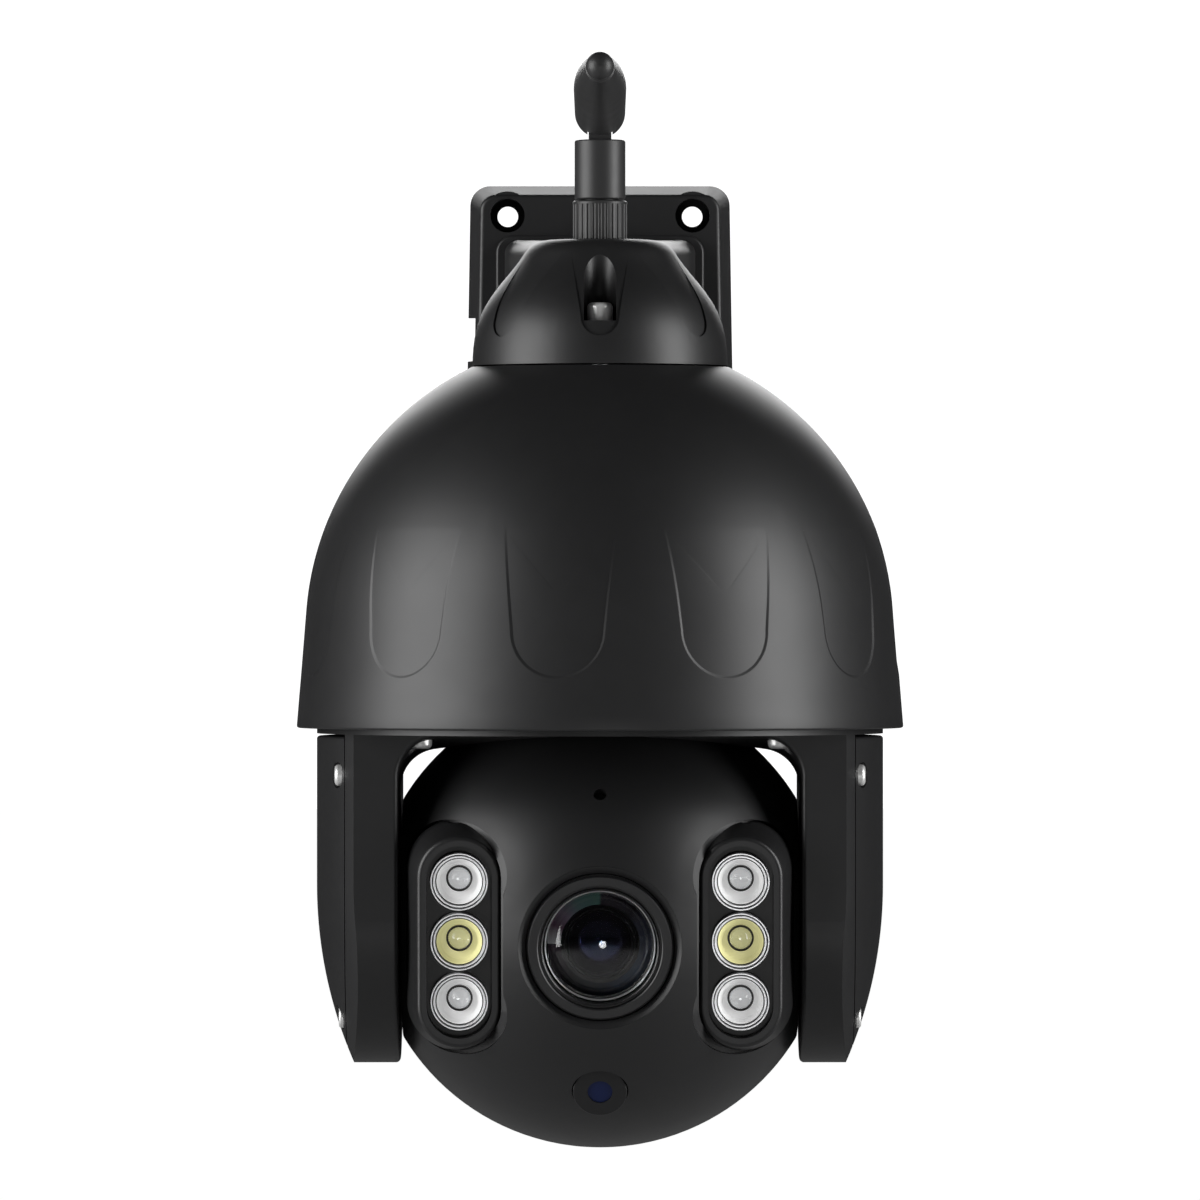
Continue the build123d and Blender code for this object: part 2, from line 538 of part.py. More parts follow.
def foot_prism():
    """Web under the disc, deepest in the middle, that thins towards the front and the back."""
    low = ThreePointArc((-FORK_HALF, FOOT_EDGE_Z), (0, FOOT_Z), (FORK_HALF, FOOT_EDGE_Z))
    top = DISC_Z0 + 0.5
    side = low + Polyline((FORK_HALF, FOOT_EDGE_Z), (FORK_HALF, top), (-FORK_HALF, top),
                          (-FORK_HALF, FOOT_EDGE_Z))
    return extrude(Plane.YZ * make_face(side), amount=SEAM_X, both=True)


def fork_screw_places():
    return [(x, y) for x in (-FORK_SCREW_X, FORK_SCREW_X) for y in (-FORK_SCREW_Y, FORK_SCREW_Y)]


def fork_frame():
    """Both arms and the web between them, with arched inner corners and softened inner edges."""
    frame = foot_prism() & fork_envelope(0.0)
    for side in (-1, 1):
        frame += arm_slab(side, FORK_INNER, SEAM_X, FORK_HALF, DISC_Z0 + 1) & fork_envelope(0.0)

    def inside(edge):
        return abs(edge.center().X) < FORK_INNER + 0.01 and edge.center().Z < DISC_Z0 - 0.2

    round_edges = frame.edges().filter_by(GeomType.CIRCLE)
    arches = [e for e in round_edges if inside(e) and e.center().Z > TILT_H / 2]
    frame = fillet(arches, ARCH_R)
    corners = [e for e in frame.edges() if inside(e) and abs(e.center().Y) > FORK_HALF - 1]
    ends = [e for e in frame.edges().filter_by(GeomType.CIRCLE) if inside(e) and e.center().Z < TILT_H]
    return fillet(corners + ends, ARM_EDGE_R)


def fork():
    """Disc with two hollow arms that carry the ball."""
    body = zcyl(FORK_R, DISC_Z0, DISC_Z1) + fork_frame()
    body -= (Pos(0, 0, TILT_H) * Sphere(POCKET_R)) & block(-FORK_INNER, FORK_INNER, -70, 70, -120, 20)
    for side in (-1, 1):
        hollow = arm_slab(side, FORK_INNER + 2.5, SEAM_X + 1, FORK_HALF - FORK_WALL, -7.5)
        hollow &= fork_envelope(FORK_WALL)
        posts = Part() + [xcyl(COVER_POST_R, side * FORK_INNER, side * SEAM_X, y * s, z)
                          for y, z in COVER_SCREWS for s in (-1, 1)]
        body -= hollow - posts
        body -= [xcyl(1.2, side * (SEAM_X - 7), side * (SEAM_X + 1), y * s, z)
                 for y, z in COVER_SCREWS for s in (-1, 1)]
        body -= xcyl(HUB_R + 2.0, side * (FORK_INNER - 1), side * (FORK_INNER + 3), 0, TILT_H)
    for place in fork_screw_places():
        body -= zcyl(3.85, -12, FORK_SCREW_SEAT, *place)
        body -= zcyl(1.6, FORK_SCREW_SEAT - 1, DISC_Z1 + 1, *place)
    for s in (-1, 1):
        body += xcyl(2.4, -FORK_INNER - 1, -TILT_PLATE_X0, s * TILT_POST_Y, tilt_motor_height())
    return body


def fork_screws():
    screw = Rot(180, 0, 0) * pan_head_screw(3.1, 2.4, 1.5, 6.5, 1.4)
    return [Pos(x, y, FORK_SCREW_SEAT) * screw for x, y in fork_screw_places()]


def arm_cover(side):
    """Curved outer cover of one arm, with four counterbored screw holes."""
    start = SEAM_X + SEAM_GAP
    cover = arm_slab(side, start, FORK_R + 2, FORK_HALF, COVER_TOP) & fork_envelope(0.0)
    rim = cover.faces().filter_by(Axis.X).sort_by(Axis.X)[0 if side > 0 else -1]
    top = cover.faces().filter_by(Axis.Z).sort_by(Axis.Z)[-1]
    corner = [e for e in top.edges() if e not in rim.edges()]
    cover = fillet(corner, 0.8)
    hollow = arm_slab(side, start - 1, FORK_R, FORK_HALF - 3.5, COVER_TOP - COVER_WALL)
    cover -= hollow & fork_envelope(COVER_WALL)
    for y, z in COVER_SCREWS:
        for s in (-1, 1):
            post = xcyl(3.8, side * SEAM_X, side * (FORK_R + 2), y * s, z)
            cover += post & fork_envelope(COVER_WALL / 2)
            cover -= xcyl(3.3, side * (SEAM_X + COVER_SCREW_SEAT), side * (FORK_R + 3), y * s, z)
            cover -= xcyl(1.5, side * (SEAM_X - 1), side * (FORK_R + 3), y * s, z)
    return cover


def cover_screws():
    screws = []
    for (y, z), head in zip(COVER_SCREWS, COVER_HEADS):
        screw = pan_head_screw(2.7, head, 1.2, 6.0, 1.1)
        screws += [Pos(side * (SEAM_X + COVER_SCREW_SEAT), y * s, z) * Rot(0, 90 * side, 0) * screw
                   for side in (-1, 1) for s in (-1, 1)]
    return screws


def tilt_bushes():
    """Plastic bushes, one in each arm, that the ball's hubs turn in."""
    bushes = []
    for side in (-1, 1):
        sleeve = xcyl(HUB_R + 2.0, side * (FORK_INNER + 0.1), side * (FORK_INNER + 2.5), 0, TILT_H)
        sleeve += xcyl(HUB_R + 3.5, side * (FORK_INNER + 2.5), side * (FORK_INNER + 3.1), 0, TILT_H)
        bushes.append(sleeve - xcyl(HUB_R + RUN, side * 48, side * 60, 0, TILT_H))
    return bushes


# ---------- tilt drive, in the left arm ----------

def tilt_motor_height():
    return TILT_H + (TILT_TEETH + TILT_PINION_TEETH) * TILT_MODULE / 2


def tilt_motor():
    z = tilt_motor_height()
    can = xcyl(TILT_MOTOR_R, -TILT_MOTOR_X0, -TILT_MOTOR_X1, 0, z)
    can = fillet(can.edges().sort_by(Axis.X)[0], 1.2)
    return can - xcyl(1.5 + RUN, -TILT_MOTOR_X0 + 1, -TILT_MOTOR_X1 + 2, 0, z)


def tilt_motor_plate():
    z = tilt_motor_height()
    outline = Plane.YZ * Pos(0, z) * RectangleRounded(41, 14, 3)
    plate = extrude(outline, amount=TILT_PLATE_X1 - TILT_PLATE_X0)
    plate = Pos(-TILT_PLATE_X1, 0, 0) * plate
    return plate - xcyl(3.0, -50, -62, 0, z) - [xcyl(1.2, -50, -62, s * TILT_POST_Y, z) for s in (-1, 1)]


def tilt_pinion():
    """Pinion on its motor shaft, a tooth pointing down at the tilt gear."""
    z = tilt_motor_height()
    outline = Plane.YZ * gear_outline(TILT_PINION_TEETH, TILT_MODULE, -90)
    pinion = Pos(-TILT_GEAR_X1 - 0.6, 0, z) * extrude(outline, amount=TILT_GEAR_X1 - TILT_GEAR_X0 + 0.9)
    return pinion + xcyl(1.5, -TILT_GEAR_X0 + 0.3, -TILT_MOTOR_X1 + 3, 0, z)


def tilt_gear():
    """Gear on the left hub, a gap facing up at the pinion in the rest position."""
    turn = 90 + 180 / TILT_TEETH - TILT_REST
    outline = Plane.YZ * gear_outline(TILT_TEETH, TILT_MODULE, turn)
    wheel = Pos(-TILT_GEAR_X1, 0, 0) * extrude(outline, amount=TILT_GEAR_X1 - TILT_GEAR_X0)
    wheel -= xcyl(HUB_BOSS_R + 0.02, -50, -60)
    return wheel - [Rot(60 * i, 0, 0) * xcyl(3.6, -50, -60, 15.5, 0) for i in range(6)]


# ---------- ball, in the ball frame ----------

def ball_solid(inset):
    """Sphere with flats at both ends of the tilt axis."""
    r, flat = BALL_R - inset, BALL_FLAT - inset
    solid = Sphere(r) & block(-flat, flat, -r, r, -r, r)
    return fillet(solid.edges().filter_by(GeomType.CIRCLE), BALL_EDGE) if inset == 0 else solid


def pod_pocket(side):
    """Opening for one lamp pod; its round ends are a little wider than its sides."""
    depth = BALL_R + 5
    pocket = extrude(facing_wall(Pos(side * POD_MID, 0) * pill(POD_OPEN_W, POD_OPEN_H), -20), amount=depth)
    for s in (-1, 1):
        pocket += ycyl(POD_OPEN_W, -20, -depth - 20, side * (POD_MID - 1.0), s * (POD_OPEN_H - POD_OPEN_W))
    return pocket


def radial_cylinder(r, deg, near, far, face_deg=None):
    """Cylinder through the skin at an elevation, along face_deg if that is given."""
    along = deg if face_deg is None else face_deg
    point = Pos(0, -BALL_R * cos(radians(deg)), BALL_R * sin(radians(deg)))
    return point * Rot(-along, 0, 0) * ycyl(r, near, far)


def ball_clamp_screws():
    return [(s * 37.0, t * 33.0) for s in (-1, 1) for t in (-1, 1)]


def ball_shell(front):
    shell = ball_solid(0.0) - ball_solid(BALL_WALL)
    half = block(-60, 60, -60, 0, -60, 60) if front else block(-60, 60, 0, 60, -60, 60)
    shell &= half
    for x, z in ball_clamp_screws():
        post = ycyl(4.2, -48, 0, x, z) if front else ycyl(4.2, 0, 48, x, z)
        shell += post & ball_solid(BALL_WALL / 2)
    shell -= ball_seal()
    shell -= xcyl(HUB_R, -52, 52)
    return shell


def ball_front_shell():
    shell = ball_shell(True)
    for side in (-1, 1):
        shell -= pod_pocket(side)
    shell -= ycyl(LENS_OPEN_R, -40, -60)
    cone_deep, cone_y = LENS_RIM_R - LENS_OPEN_R, -sqrt(BALL_R ** 2 - LENS_RIM_R ** 2)
    rim = Pos(0, cone_y + cone_deep / 2, 0) * Rot(90, 0, 0) * Cone(LENS_OPEN_R, LENS_RIM_R, cone_deep)
    shell -= rim + ycyl(LENS_RIM_R, cone_y, -60)
    shell -= radial_cylinder(MIC_R, MIC_DEG, -6, 6)
    shell -= radial_cylinder(SENSOR_R + 0.3, SENSOR_DEG, -14, 12.0, SENSOR_FACE_DEG)
    return shell - [ycyl(1.5, -8, 1, x, z) for x, z in ball_clamp_screws()]


def ball_rear_shell():
    shell = ball_shell(False)
    for x, z in ball_clamp_screws():
        shell -= ycyl(1.6, -1, 60, x, z)
        shell -= ycyl(3.4, 14, 60, x, z)
    return shell


def ball_seal():
    """Gasket along the joint of the two half shells, broken at the hubs."""
    ring = ycyl(BALL_R - 1.0, -0.5, 0.5) & block(-BALL_FLAT + 1, BALL_FLAT - 1, -1, 1, -60, 60)
    ring -= ycyl(BALL_R - 2.1, -1, 1) & block(-BALL_FLAT + 2.1, BALL_FLAT - 2.1, -2, 2, -60, 60)
    return ring - block(-60, 60, -2, 2, -HUB_R - 3, HUB_R + 3)


def ball_screws():
    screw = pan_head_screw(2.9, 2.4, 1.5, 20.0)
    return [Pos(x, 14, z) * Rot(-90, 0, 0) * screw for x, z in ball_clamp_screws()]


def tilt_hub(side):
    """Hollow hub clamped between the half shells; it turns in its arm's bush."""
    flat_in = BALL_FLAT - BALL_WALL
    hub = xcyl(HUB_R, side * (flat_in - 1), side * 53.9)
    hub += xcyl(HUB_R + 3, side * (flat_in - 1.5), side * flat_in)
    hub += xcyl(HUB_BOSS_R, side * 53.9, side * 58.3)
    return hub - xcyl(HUB_BORE_R, side * 40, side * 60)


def hub_clips():
    """Spring clips that keep the hubs in their arms."""
    clips = []
    for side in (-1, 1):
        start = 57.3 if side < 0 else 54.2
        clip = xcyl(11.6, side * start, side * (start + 0.8))
        clips.append(clip - xcyl(HUB_BOSS_R + 0.02, side * 50, side * 60))
    return clips


# ---------- lens ----------

def lens_solid(r, y_front, y_rear, curve):
    """Glass element along Y: a flat back, and a front that bulges with the given radius."""
    ball = Pos(0, y_front + curve, 0) * Sphere(curve)
    return ball & ycyl(r, y_front - 1, y_rear)


def lens_bezel():
    """Stepped ring round the window."""
    front = -sqrt(BALL_R ** 2 - LENS_OPEN_R ** 2) + 0.2
    ring = ycyl(BEZEL_R, front, -44.0)
    ring = fillet(ring.edges().sort_by(Axis.Y)[0], 0.5)
    ring -= ycyl(WINDOW_R, WINDOW_Y - 3, WINDOW_Y + 1.2)
    return ring - ycyl(WINDOW_R - 1.2, -60, -40)


def window_glass():
    return ycyl(WINDOW_R - 0.02, WINDOW_Y, WINDOW_Y + 1.2)


def lens_barrel():
    """Barrel with a wide front cell, a zoom bay and a rear cell."""
    tube = ycyl(14.0, -53.4, -44.0) + ycyl(13.2, -44.0, -12.0)
    tube -= ycyl(12.9, -54, -47.5)
    tube -= ycyl(11.6, -48, -24.0)
    tube -= ycyl(7.0, -25, -11)
    return tube


def front_element():
    return lens_solid(12.85, -53.0, -47.6, 24.0)


def lens_baffle():
    """Stepped light baffle behind the front element."""
    ring = ycyl(11.55, -47.4, -42.0)
    for i in range(4):
        ring -= ycyl(11.0 - i * 1.0, -48, -46.2 + i * 1.2)
    return ring - ycyl(7.0, -48, -41)


def zoom_carriage():
    return ycyl(11.6 - RUN, -33.0, -28.0) - ycyl(8.2, -34, -27)


def zoom_element():
    return lens_solid(8.2, -32.8, -28.2, 15.0)


def rear_element():
    return lens_solid(6.98, -22.0, -18.0, 18.0)


def sensor_board():
    """Image sensor on its board, behind the lens."""
    board = block(-17, 17, -11.9, -10.3, -17, 17)
    return board + block(-5.2, 5.2, -13.0, -11.8, -4.2, 4.2)


def camera_board():
    """Processor board across the back of the ball, with its heat spreader."""
    board = block(-34, 34, 4.0, 5.6, -22, 22)
    board += block(-9, 9, 5.5, 8.0, -9, 9) + block(16, 28, 5.5, 9.5, -8, 8)
    return board + [block(-9, 9, 7.9, 14.0, -9 + 3 * i, -7.6 + 3 * i) for i in range(6)]


# ---------- lamps and small parts ----------

def led_pod(side):
    """Pill-shaped lamp housing with drafted flanks and a recessed face."""
    depth, grow = 16.0, tan(radians(POD_DRAFT))
    base = pill(POD_HALF_W + depth * grow, POD_HALF_H + depth * grow)
    face = pill(POD_HALF_W, POD_HALF_H)
    pod = loft([facing_wall(base, POD_FACE_Y + depth), facing_wall(face, POD_FACE_Y)])
    pod = fillet(pod.faces().sort_by(Axis.Y)[0].edges(), 1.2)
    pod = Pos(side * POD_X, 0, 0) * pod
    pod &= pod_pocket_slim(side) + ball_solid(BALL_WALL + 0.1)
    recess = facing_wall(Pos(side * POD_X, 0) * pill(POD_RECESS_W, POD_RECESS_H), POD_FACE_Y + POD_RECESS)
    pod -= extrude(recess, amount=POD_RECESS + 2)
    for z in led_heights():
        pod -= ycyl(LED_CUP_R - 0.6, POD_FACE_Y, POD_FACE_Y + depth + 1, side * POD_X, z)
    rear = facing_wall(Pos(side * POD_X, 0) * pill(9.0, 25.5), POD_FACE_Y + depth + 1)
    pod -= extrude(rear, amount=depth + 1 - POD_RECESS - 4.9)
    for flank in (-1, 1):
        near, far = sorted((flank * BALL_FLAT, flank * (BALL_FLAT + 5)))
        pod -= block(near, far, -60, 0, -40, 40)
    for x, z in ball_clamp_screws():
        pod -= ycyl(4.3, -50, 1, x, z)
    return pod


def pod_pocket_slim(side):
    """The pod's own share of its opening, clear of the shell on the inner side."""
    outline = Pos(side * POD_MID, 0) * pill(POD_OPEN_W - 0.15, POD_OPEN_H - 0.7)
    return extrude(facing_wall(outline, -20), amount=BALL_R)


def led_heights():
    return [LED_PITCH * i for i in (-1, 0, 1)]


def led_places(rows):
    return [(side * POD_X, z) for side in (-1, 1) for z in rows]


def led_pods():
    return [led_pod(-1), led_pod(1)]


def led_cups():
    """Bright reflector cups, one under each lamp lens."""
    back, front = POD_FACE_Y + POD_RECESS, POD_FACE_Y + 0.9
    cup = ycyl(LED_CUP_R, front, back) + ycyl(LED_CUP_R - 0.65, back, back + 5.0)
    cup -= ycyl(LED_LENS_R, front - 1, back - 0.6)
    cup -= Pos(0, back + 1.9, 0) * Rot(90, 0, 0) * Cone(2.2, LED_LENS_R - 0.4, 6.2)
    cup -= ycyl(2.2, back, back + 6)
    return [Pos(x, 0, z) * cup for x, z in led_places(led_heights())]


def led_lens():
    """Clear lamp lens: flat rim and a small dome over the emitter."""
    back = POD_FACE_Y + POD_RECESS - 0.6
    front = back - 1.6
    lens = ycyl(LED_LENS_R - 0.02, front, back)
    dome = Pos(0, front + 1.6, 0) * Sphere(3.7)
    return lens + (dome & ycyl(5, front - 3, front + 1))


def led_lenses_white():
    return [Pos(x, 0, z) * led_lens() for x, z in led_places([-LED_PITCH, LED_PITCH])]


def led_lenses_warm():
    return [Pos(x, 0, z) * led_lens() for x, z in led_places([0.0])]


def led_boards():
    """Two narrow boards, each with three emitters."""
    back = POD_FACE_Y + POD_RECESS + 5.0
    boards = []
    for side in (-1, 1):
        board = block(side * POD_X - 6, side * POD_X + 6, back, back + 1.5, -23, 23)
        for z in led_heights():
            board += ycyl(1.7, back - 3.5, back + 0.2, side * POD_X, z)
        boards.append(board)
    return boards


def light_sensor_body():
    """Round flat-faced housing that stands half out of the ball."""
    body = radial_cylinder(SENSOR_R, SENSOR_DEG, -0.2, 10.5, SENSOR_FACE_DEG)
    front = body.edges().filter_by(GeomType.CIRCLE).sort_by(Axis.Y)[0]
    body = fillet(front, 0.4)
    return body - radial_cylinder(SENSOR_EYE_R, SENSOR_DEG, -1, 2.2, SENSOR_FACE_DEG)


def light_sensor_eye():
    return radial_cylinder(SENSOR_EYE_R - 0.02, SENSOR_DEG, 0.2, 2.2, SENSOR_FACE_DEG)


def microphone():
    body = radial_cylinder(3.0, MIC_DEG, BALL_WALL + 0.2, BALL_WALL + 5.0)
    return body + radial_cylinder(MIC_R - 0.1, MIC_DEG, BALL_WALL - 0.8, BALL_WALL + 0.4)


# ---------- antenna ----------

def antenna_jack():
    """Threaded jack in the top of the neck, inside the antenna's nut."""
    jack = zcyl(JACK_R, NECK_TOP - 9.0, NECK_TOP + 6.5)
    jack += Pos(0, 0, NECK_TOP - 8.4) * extrude(RegularPolygon(5.0, 6), amount=2.4)
    return jack - zcyl(1.0, NECK_TOP - 10, NECK_TOP + 7)


def antenna_nut():
    """Ribbed coupling nut that holds the antenna on its jack."""
    nut = zcyl(NUT_R, NECK_TOP, NECK_TOP + NUT_H)
    nut = chamfer(nut.edges(), 0.35)
    for x, y in ring_places(NUT_R + NUT_GROOVE_R / 2, NUT_RIBS):
        nut -= zcyl(NUT_GROOVE_R, NECK_TOP - 1, NECK_TOP + NUT_H - 0.9, x, y)
    nut -= zcyl(JACK_R, NECK_TOP - 1, NECK_TOP + 7.0)
    nut -= zcyl(4.6 + RUN, NECK_TOP + 6.8, NECK_TOP + NUT_H + 1)
    return nut


def antenna_base():
    """Swivel base with the tongue of the elbow joint."""
    low = NECK_TOP + NUT_H + ANT_GAP
    base = zcyl(ANT_BASE_R, low, ANT_BASE_TOP)
    base = fillet(base.edges(), 0.5)
    base += zcyl(4.6, low - 2.5, low + 1)
    tongue = block(-TONGUE_HALF, TONGUE_HALF, -4.6, 4.6, ANT_BASE_TOP - 1, HINGE_H)
    tongue += xcyl(4.6, -TONGUE_HALF, TONGUE_HALF, 0, HINGE_H)
    return base + tongue - xcyl(PIN_R, -8, 8, 0, HINGE_H)


def antenna_pin():
    return xcyl(PIN_R, -ROD_R + 0.5, ROD_R - 0.5, 0, HINGE_H)


def antenna_rod():
    """Tapered rod with a forked, round-ended hinge and a ball at its tip, lying forward."""
    slant = sqrt(0.5)
    ball_at = ROD_LENGTH - ROD_TIP_R
    neck_at = ball_at - sqrt(ROD_TIP_R ** 2 - ROD_NECK_R ** 2)
    bow = (ROD_MID_R - (ROD_MID_R - ROD_END_R) / 4, (ROD_TAPER + ROD_END) / 2)
    half = ThreePointArc((0, -ROD_R), (ROD_R * slant, -ROD_R * slant), (ROD_R, 0))
    half += Line((ROD_R, 0), (ROD_MID_R, ROD_TAPER))
    half += ThreePointArc((ROD_MID_R, ROD_TAPER), bow, (ROD_END_R, ROD_END))
    half += Polyline((ROD_END_R, ROD_END), (ROD_NECK_R, ROD_END + 0.9), (ROD_NECK_R, neck_at))
    half += ThreePointArc((ROD_NECK_R, neck_at), (ROD_TIP_R, ball_at), (0, ROD_LENGTH))
    half += Line((0, ROD_LENGTH), (0, -ROD_R))
    rod = Rot(90, 0, 0) * turned(half)
    rod -= block(-FORK_SLOT_HALF, FORK_SLOT_HALF, -6.4, 8, -8, 8)
    rod -= xcyl(PIN_R + RUN, -8, 8)
    return Pos(0, 0, HINGE_H) * Rot(-ANTENNA_LIFT, 0, 0) * rod


# ---------- all the pieces ----------

WALL_PARTS = {"wall_bracket": wall_bracket}

RIM_PARTS = {
    "cable_grommet": cable_grommet, "neck_seal": neck_seal, "neck_screws": neck_screws,
    "dome_shell": dome_shell, "base_plate": base_plate,
    "base_plate_screws": base_plate_screws, "bearing_outer_ring": bearing_outer_ring,
    "bearing_inner_ring": bearing_inner_ring, "bearing_balls": bearing_balls,
    "bearing_locknut": bearing_locknut, "pan_motor": pan_motor, "pan_motor_screws": pan_motor_screws,
    "pan_pinion": pan_pinion, "pan_gear": pan_gear, "pan_hub": pan_hub, "slip_ring_rotor": slip_ring_rotor,
    "slip_ring_stator": slip_ring_stator, "main_board": main_board, "board_posts": board_posts,
    "fork": fork, "fork_screws": fork_screws, "cover_screws": cover_screws, "tilt_bushes": tilt_bushes,
    "tilt_motor": tilt_motor, "tilt_motor_plate": tilt_motor_plate, "tilt_pinion": tilt_pinion,
    "antenna_jack": antenna_jack, "antenna_nut": antenna_nut, "antenna_base": antenna_base,
    "antenna_pin": antenna_pin, "antenna_rod": antenna_rod,
}

BALL_PARTS = {
    "ball_front_shell": ball_front_shell, "ball_rear_shell": ball_rear_shell, "ball_seal": ball_seal,
    "ball_screws": ball_screws, "tilt_gear": tilt_gear, "hub_clips": hub_clips, "lens_bezel": lens_bezel,
    "window_glass": window_glass, "lens_barrel": lens_barrel, "front_element": front_element,
    "lens_baffle": lens_baffle, "zoom_carriage": zoom_carriage, "zoom_element": zoom_element,
    "rear_element": rear_element, "sensor_board": sensor_board, "camera_board": camera_board,
    "led_pods": led_pods, "led_cups": led_cups, "led_lenses_white": led_lenses_white,
    "led_lenses_warm": led_lenses_warm, "led_boards": led_boards, "light_sensor_body": light_sensor_body,
    "light_sensor_eye": light_sensor_eye, "microphone": microphone,
}


def save(name, shape, frame):
    solids = shape if isinstance(shape, list) else [shape]
    placed = [s for item in solids for s in (frame * item).solids()]
    export_step(placed[0] if len(placed) == 1 else Compound(children=placed), f"parts/{name}.step")


def main():
    os.makedirs("parts", exist_ok=True)
    for name, make in WALL_PARTS.items():
        save(name, make(), Pos(0, 0, 0))
    for name, make in RIM_PARTS.items():
        save(name, make(), RIM)
    for name, side in (("left", -1), ("right", 1)):
        save(f"arm_cover_{name}", arm_cover(side), RIM)
        save(f"tilt_hub_{name}", tilt_hub(side), BALL)
    for name, make in BALL_PARTS.items():
        save(name, make(), BALL)


main()
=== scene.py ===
import json
from itertools import product
from math import asin, cos, pi, radians, sin, sqrt, tan

import bmesh
import bpy
from mathutils import Euler, Matrix, Vector


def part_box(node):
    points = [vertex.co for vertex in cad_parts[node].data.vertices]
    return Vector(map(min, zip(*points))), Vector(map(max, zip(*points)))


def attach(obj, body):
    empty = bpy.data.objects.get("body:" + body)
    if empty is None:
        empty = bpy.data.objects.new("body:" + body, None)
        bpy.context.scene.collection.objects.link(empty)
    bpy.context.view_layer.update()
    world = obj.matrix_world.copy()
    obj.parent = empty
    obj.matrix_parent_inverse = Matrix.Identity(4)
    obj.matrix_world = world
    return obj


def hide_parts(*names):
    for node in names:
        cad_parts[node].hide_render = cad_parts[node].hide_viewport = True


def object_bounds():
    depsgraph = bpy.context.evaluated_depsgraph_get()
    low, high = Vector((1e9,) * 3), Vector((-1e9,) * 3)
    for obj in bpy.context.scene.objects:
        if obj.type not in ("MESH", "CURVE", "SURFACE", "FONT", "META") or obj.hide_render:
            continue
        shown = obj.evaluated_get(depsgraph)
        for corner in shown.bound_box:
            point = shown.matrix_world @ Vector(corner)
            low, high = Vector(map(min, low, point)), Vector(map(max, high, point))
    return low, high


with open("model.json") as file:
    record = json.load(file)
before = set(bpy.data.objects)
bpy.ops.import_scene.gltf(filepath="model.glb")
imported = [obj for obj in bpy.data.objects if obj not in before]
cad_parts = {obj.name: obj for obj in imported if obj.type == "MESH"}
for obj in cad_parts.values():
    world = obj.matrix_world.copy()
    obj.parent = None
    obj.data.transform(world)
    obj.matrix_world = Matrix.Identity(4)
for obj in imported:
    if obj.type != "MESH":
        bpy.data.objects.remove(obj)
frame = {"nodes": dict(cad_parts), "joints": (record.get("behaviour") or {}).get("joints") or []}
cad_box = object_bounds()

NODES = frame["nodes"]
MM = 0.001

# Camera: a long lens, level, a little above the middle of the object's height.
CAMERA_DISTANCE = 2.70
CAMERA_LENS = 317.0
SENSOR = 36.0
EYE_ABOVE_MIDDLE = 0.0006
LENS_SHIFT = 0.005

# Ball's own axes: its middle, with -Y along the lens axis.
JOINTS = {joint["name"]: joint for joint in frame["joints"]}
BALL_MIDDLE = Vector(JOINTS["tilt"]["pos_m"])
LENS_AXIS = Vector(JOINTS["zoom"]["axis"])
BALL_TURN = Vector((0, -1, 0)).rotation_difference(LENS_AXIS).to_matrix().to_4x4()
BALL_PLACE = Matrix.Translation(BALL_MIDDLE) @ BALL_TURN

# Pieces on the ball, in mm. A collar row is (middle, half width, half height, depth under the ball's skin).
BALL_R = 58.7
LENS_STEPS, LAMP_STEPS = 160, 96
COATING_IN_R, COATING_OUT_R, COATING_Y = 8.8, 12.75, -47.0
LAMP_LENS_R, LAMP_PITCH = 6.6, 15.2
LAMP_DOME_LIFT = 0.7
COLLAR_ROWS = [(36.3, 14.5, 31.5, 0.9), (35.4, 10.6, 27.0, 2.4)]

# Dome: lengths in mm, heights above its rim.
DOME_R, DOME_HIGH = 77.5, 92.0
CONE_LEAN, CONE_TOP = radians(4.65), 30.3
ARC_R, ARC_MIDDLE = 75.5, (-0.216, 24.18)
PETALS, PETAL_PHASE = 11, -8.1
PETAL_LOW_W, PETAL_TOP_W, PETAL_ARC, PETAL_TOP = 11.9, 14.2, 25.0, 50.5
PETAL_DEPTH, PETAL_STEP, PETAL_FADE, PETAL_MIDDLE = 0.3, 0.42, 24.0, 34.0
SECTOR_LOW, SECTOR_HIGH, SECTOR_HALF = 8.0, 56.0, pi / 11
PETAL_SHARES, OUTER_SHARES = (0.12, 0.3, 0.5, 0.7, 0.86, 0.96), (0.25, 0.6, 1.0)
CROWN_ROWS = 24
SAME_HEIGHT, WELD = 1e-6, 0.002
SHARP_EDGE, DOME_SHARP_EDGE = radians(28), radians(50)

# Rounded rim as (height, inset), from the outside round to the inside.
RIM_PROFILE = [(4.0, 0.0), (0.6, 0.0), (0.2, 0.12), (0.0, 0.5), (0.0, 2.7), (0.2, 2.95), (17.5, 3.0)]

# Studio: two tall soft boxes at the sides, one behind, a small one in front, and a pale floor far below.
FLOOR_DROP = 0.30
FLOOR_SIZE = 40.0
BACKGROUND = 1.15
ROOM_GREY = 0.015

# Painted reflections of the soft boxes in the lens coating: their colour by the angle round the axis, as a
# share of a turn from the left over the foot.
COATING_PAINTED_REFLECTIONS = [
    (0.00, (0.075, 0.040, 0.065)), (0.15, (0.020, 0.020, 0.022)), (0.27, (0.030, 0.040, 0.062)),
    (0.40, (0.055, 0.085, 0.135)), (0.55, (0.045, 0.052, 0.090)), (0.62, (0.020, 0.017, 0.027)),
    (0.745, (0.045, 0.033, 0.048)), (0.755, (0.13, 0.30, 0.25)), (0.83, (0.20, 0.34, 0.33)),
    (0.89, (0.32, 0.25, 0.34)), (0.94, (0.20, 0.10, 0.16)),
]


# ---------------------------------------------------------------- materials

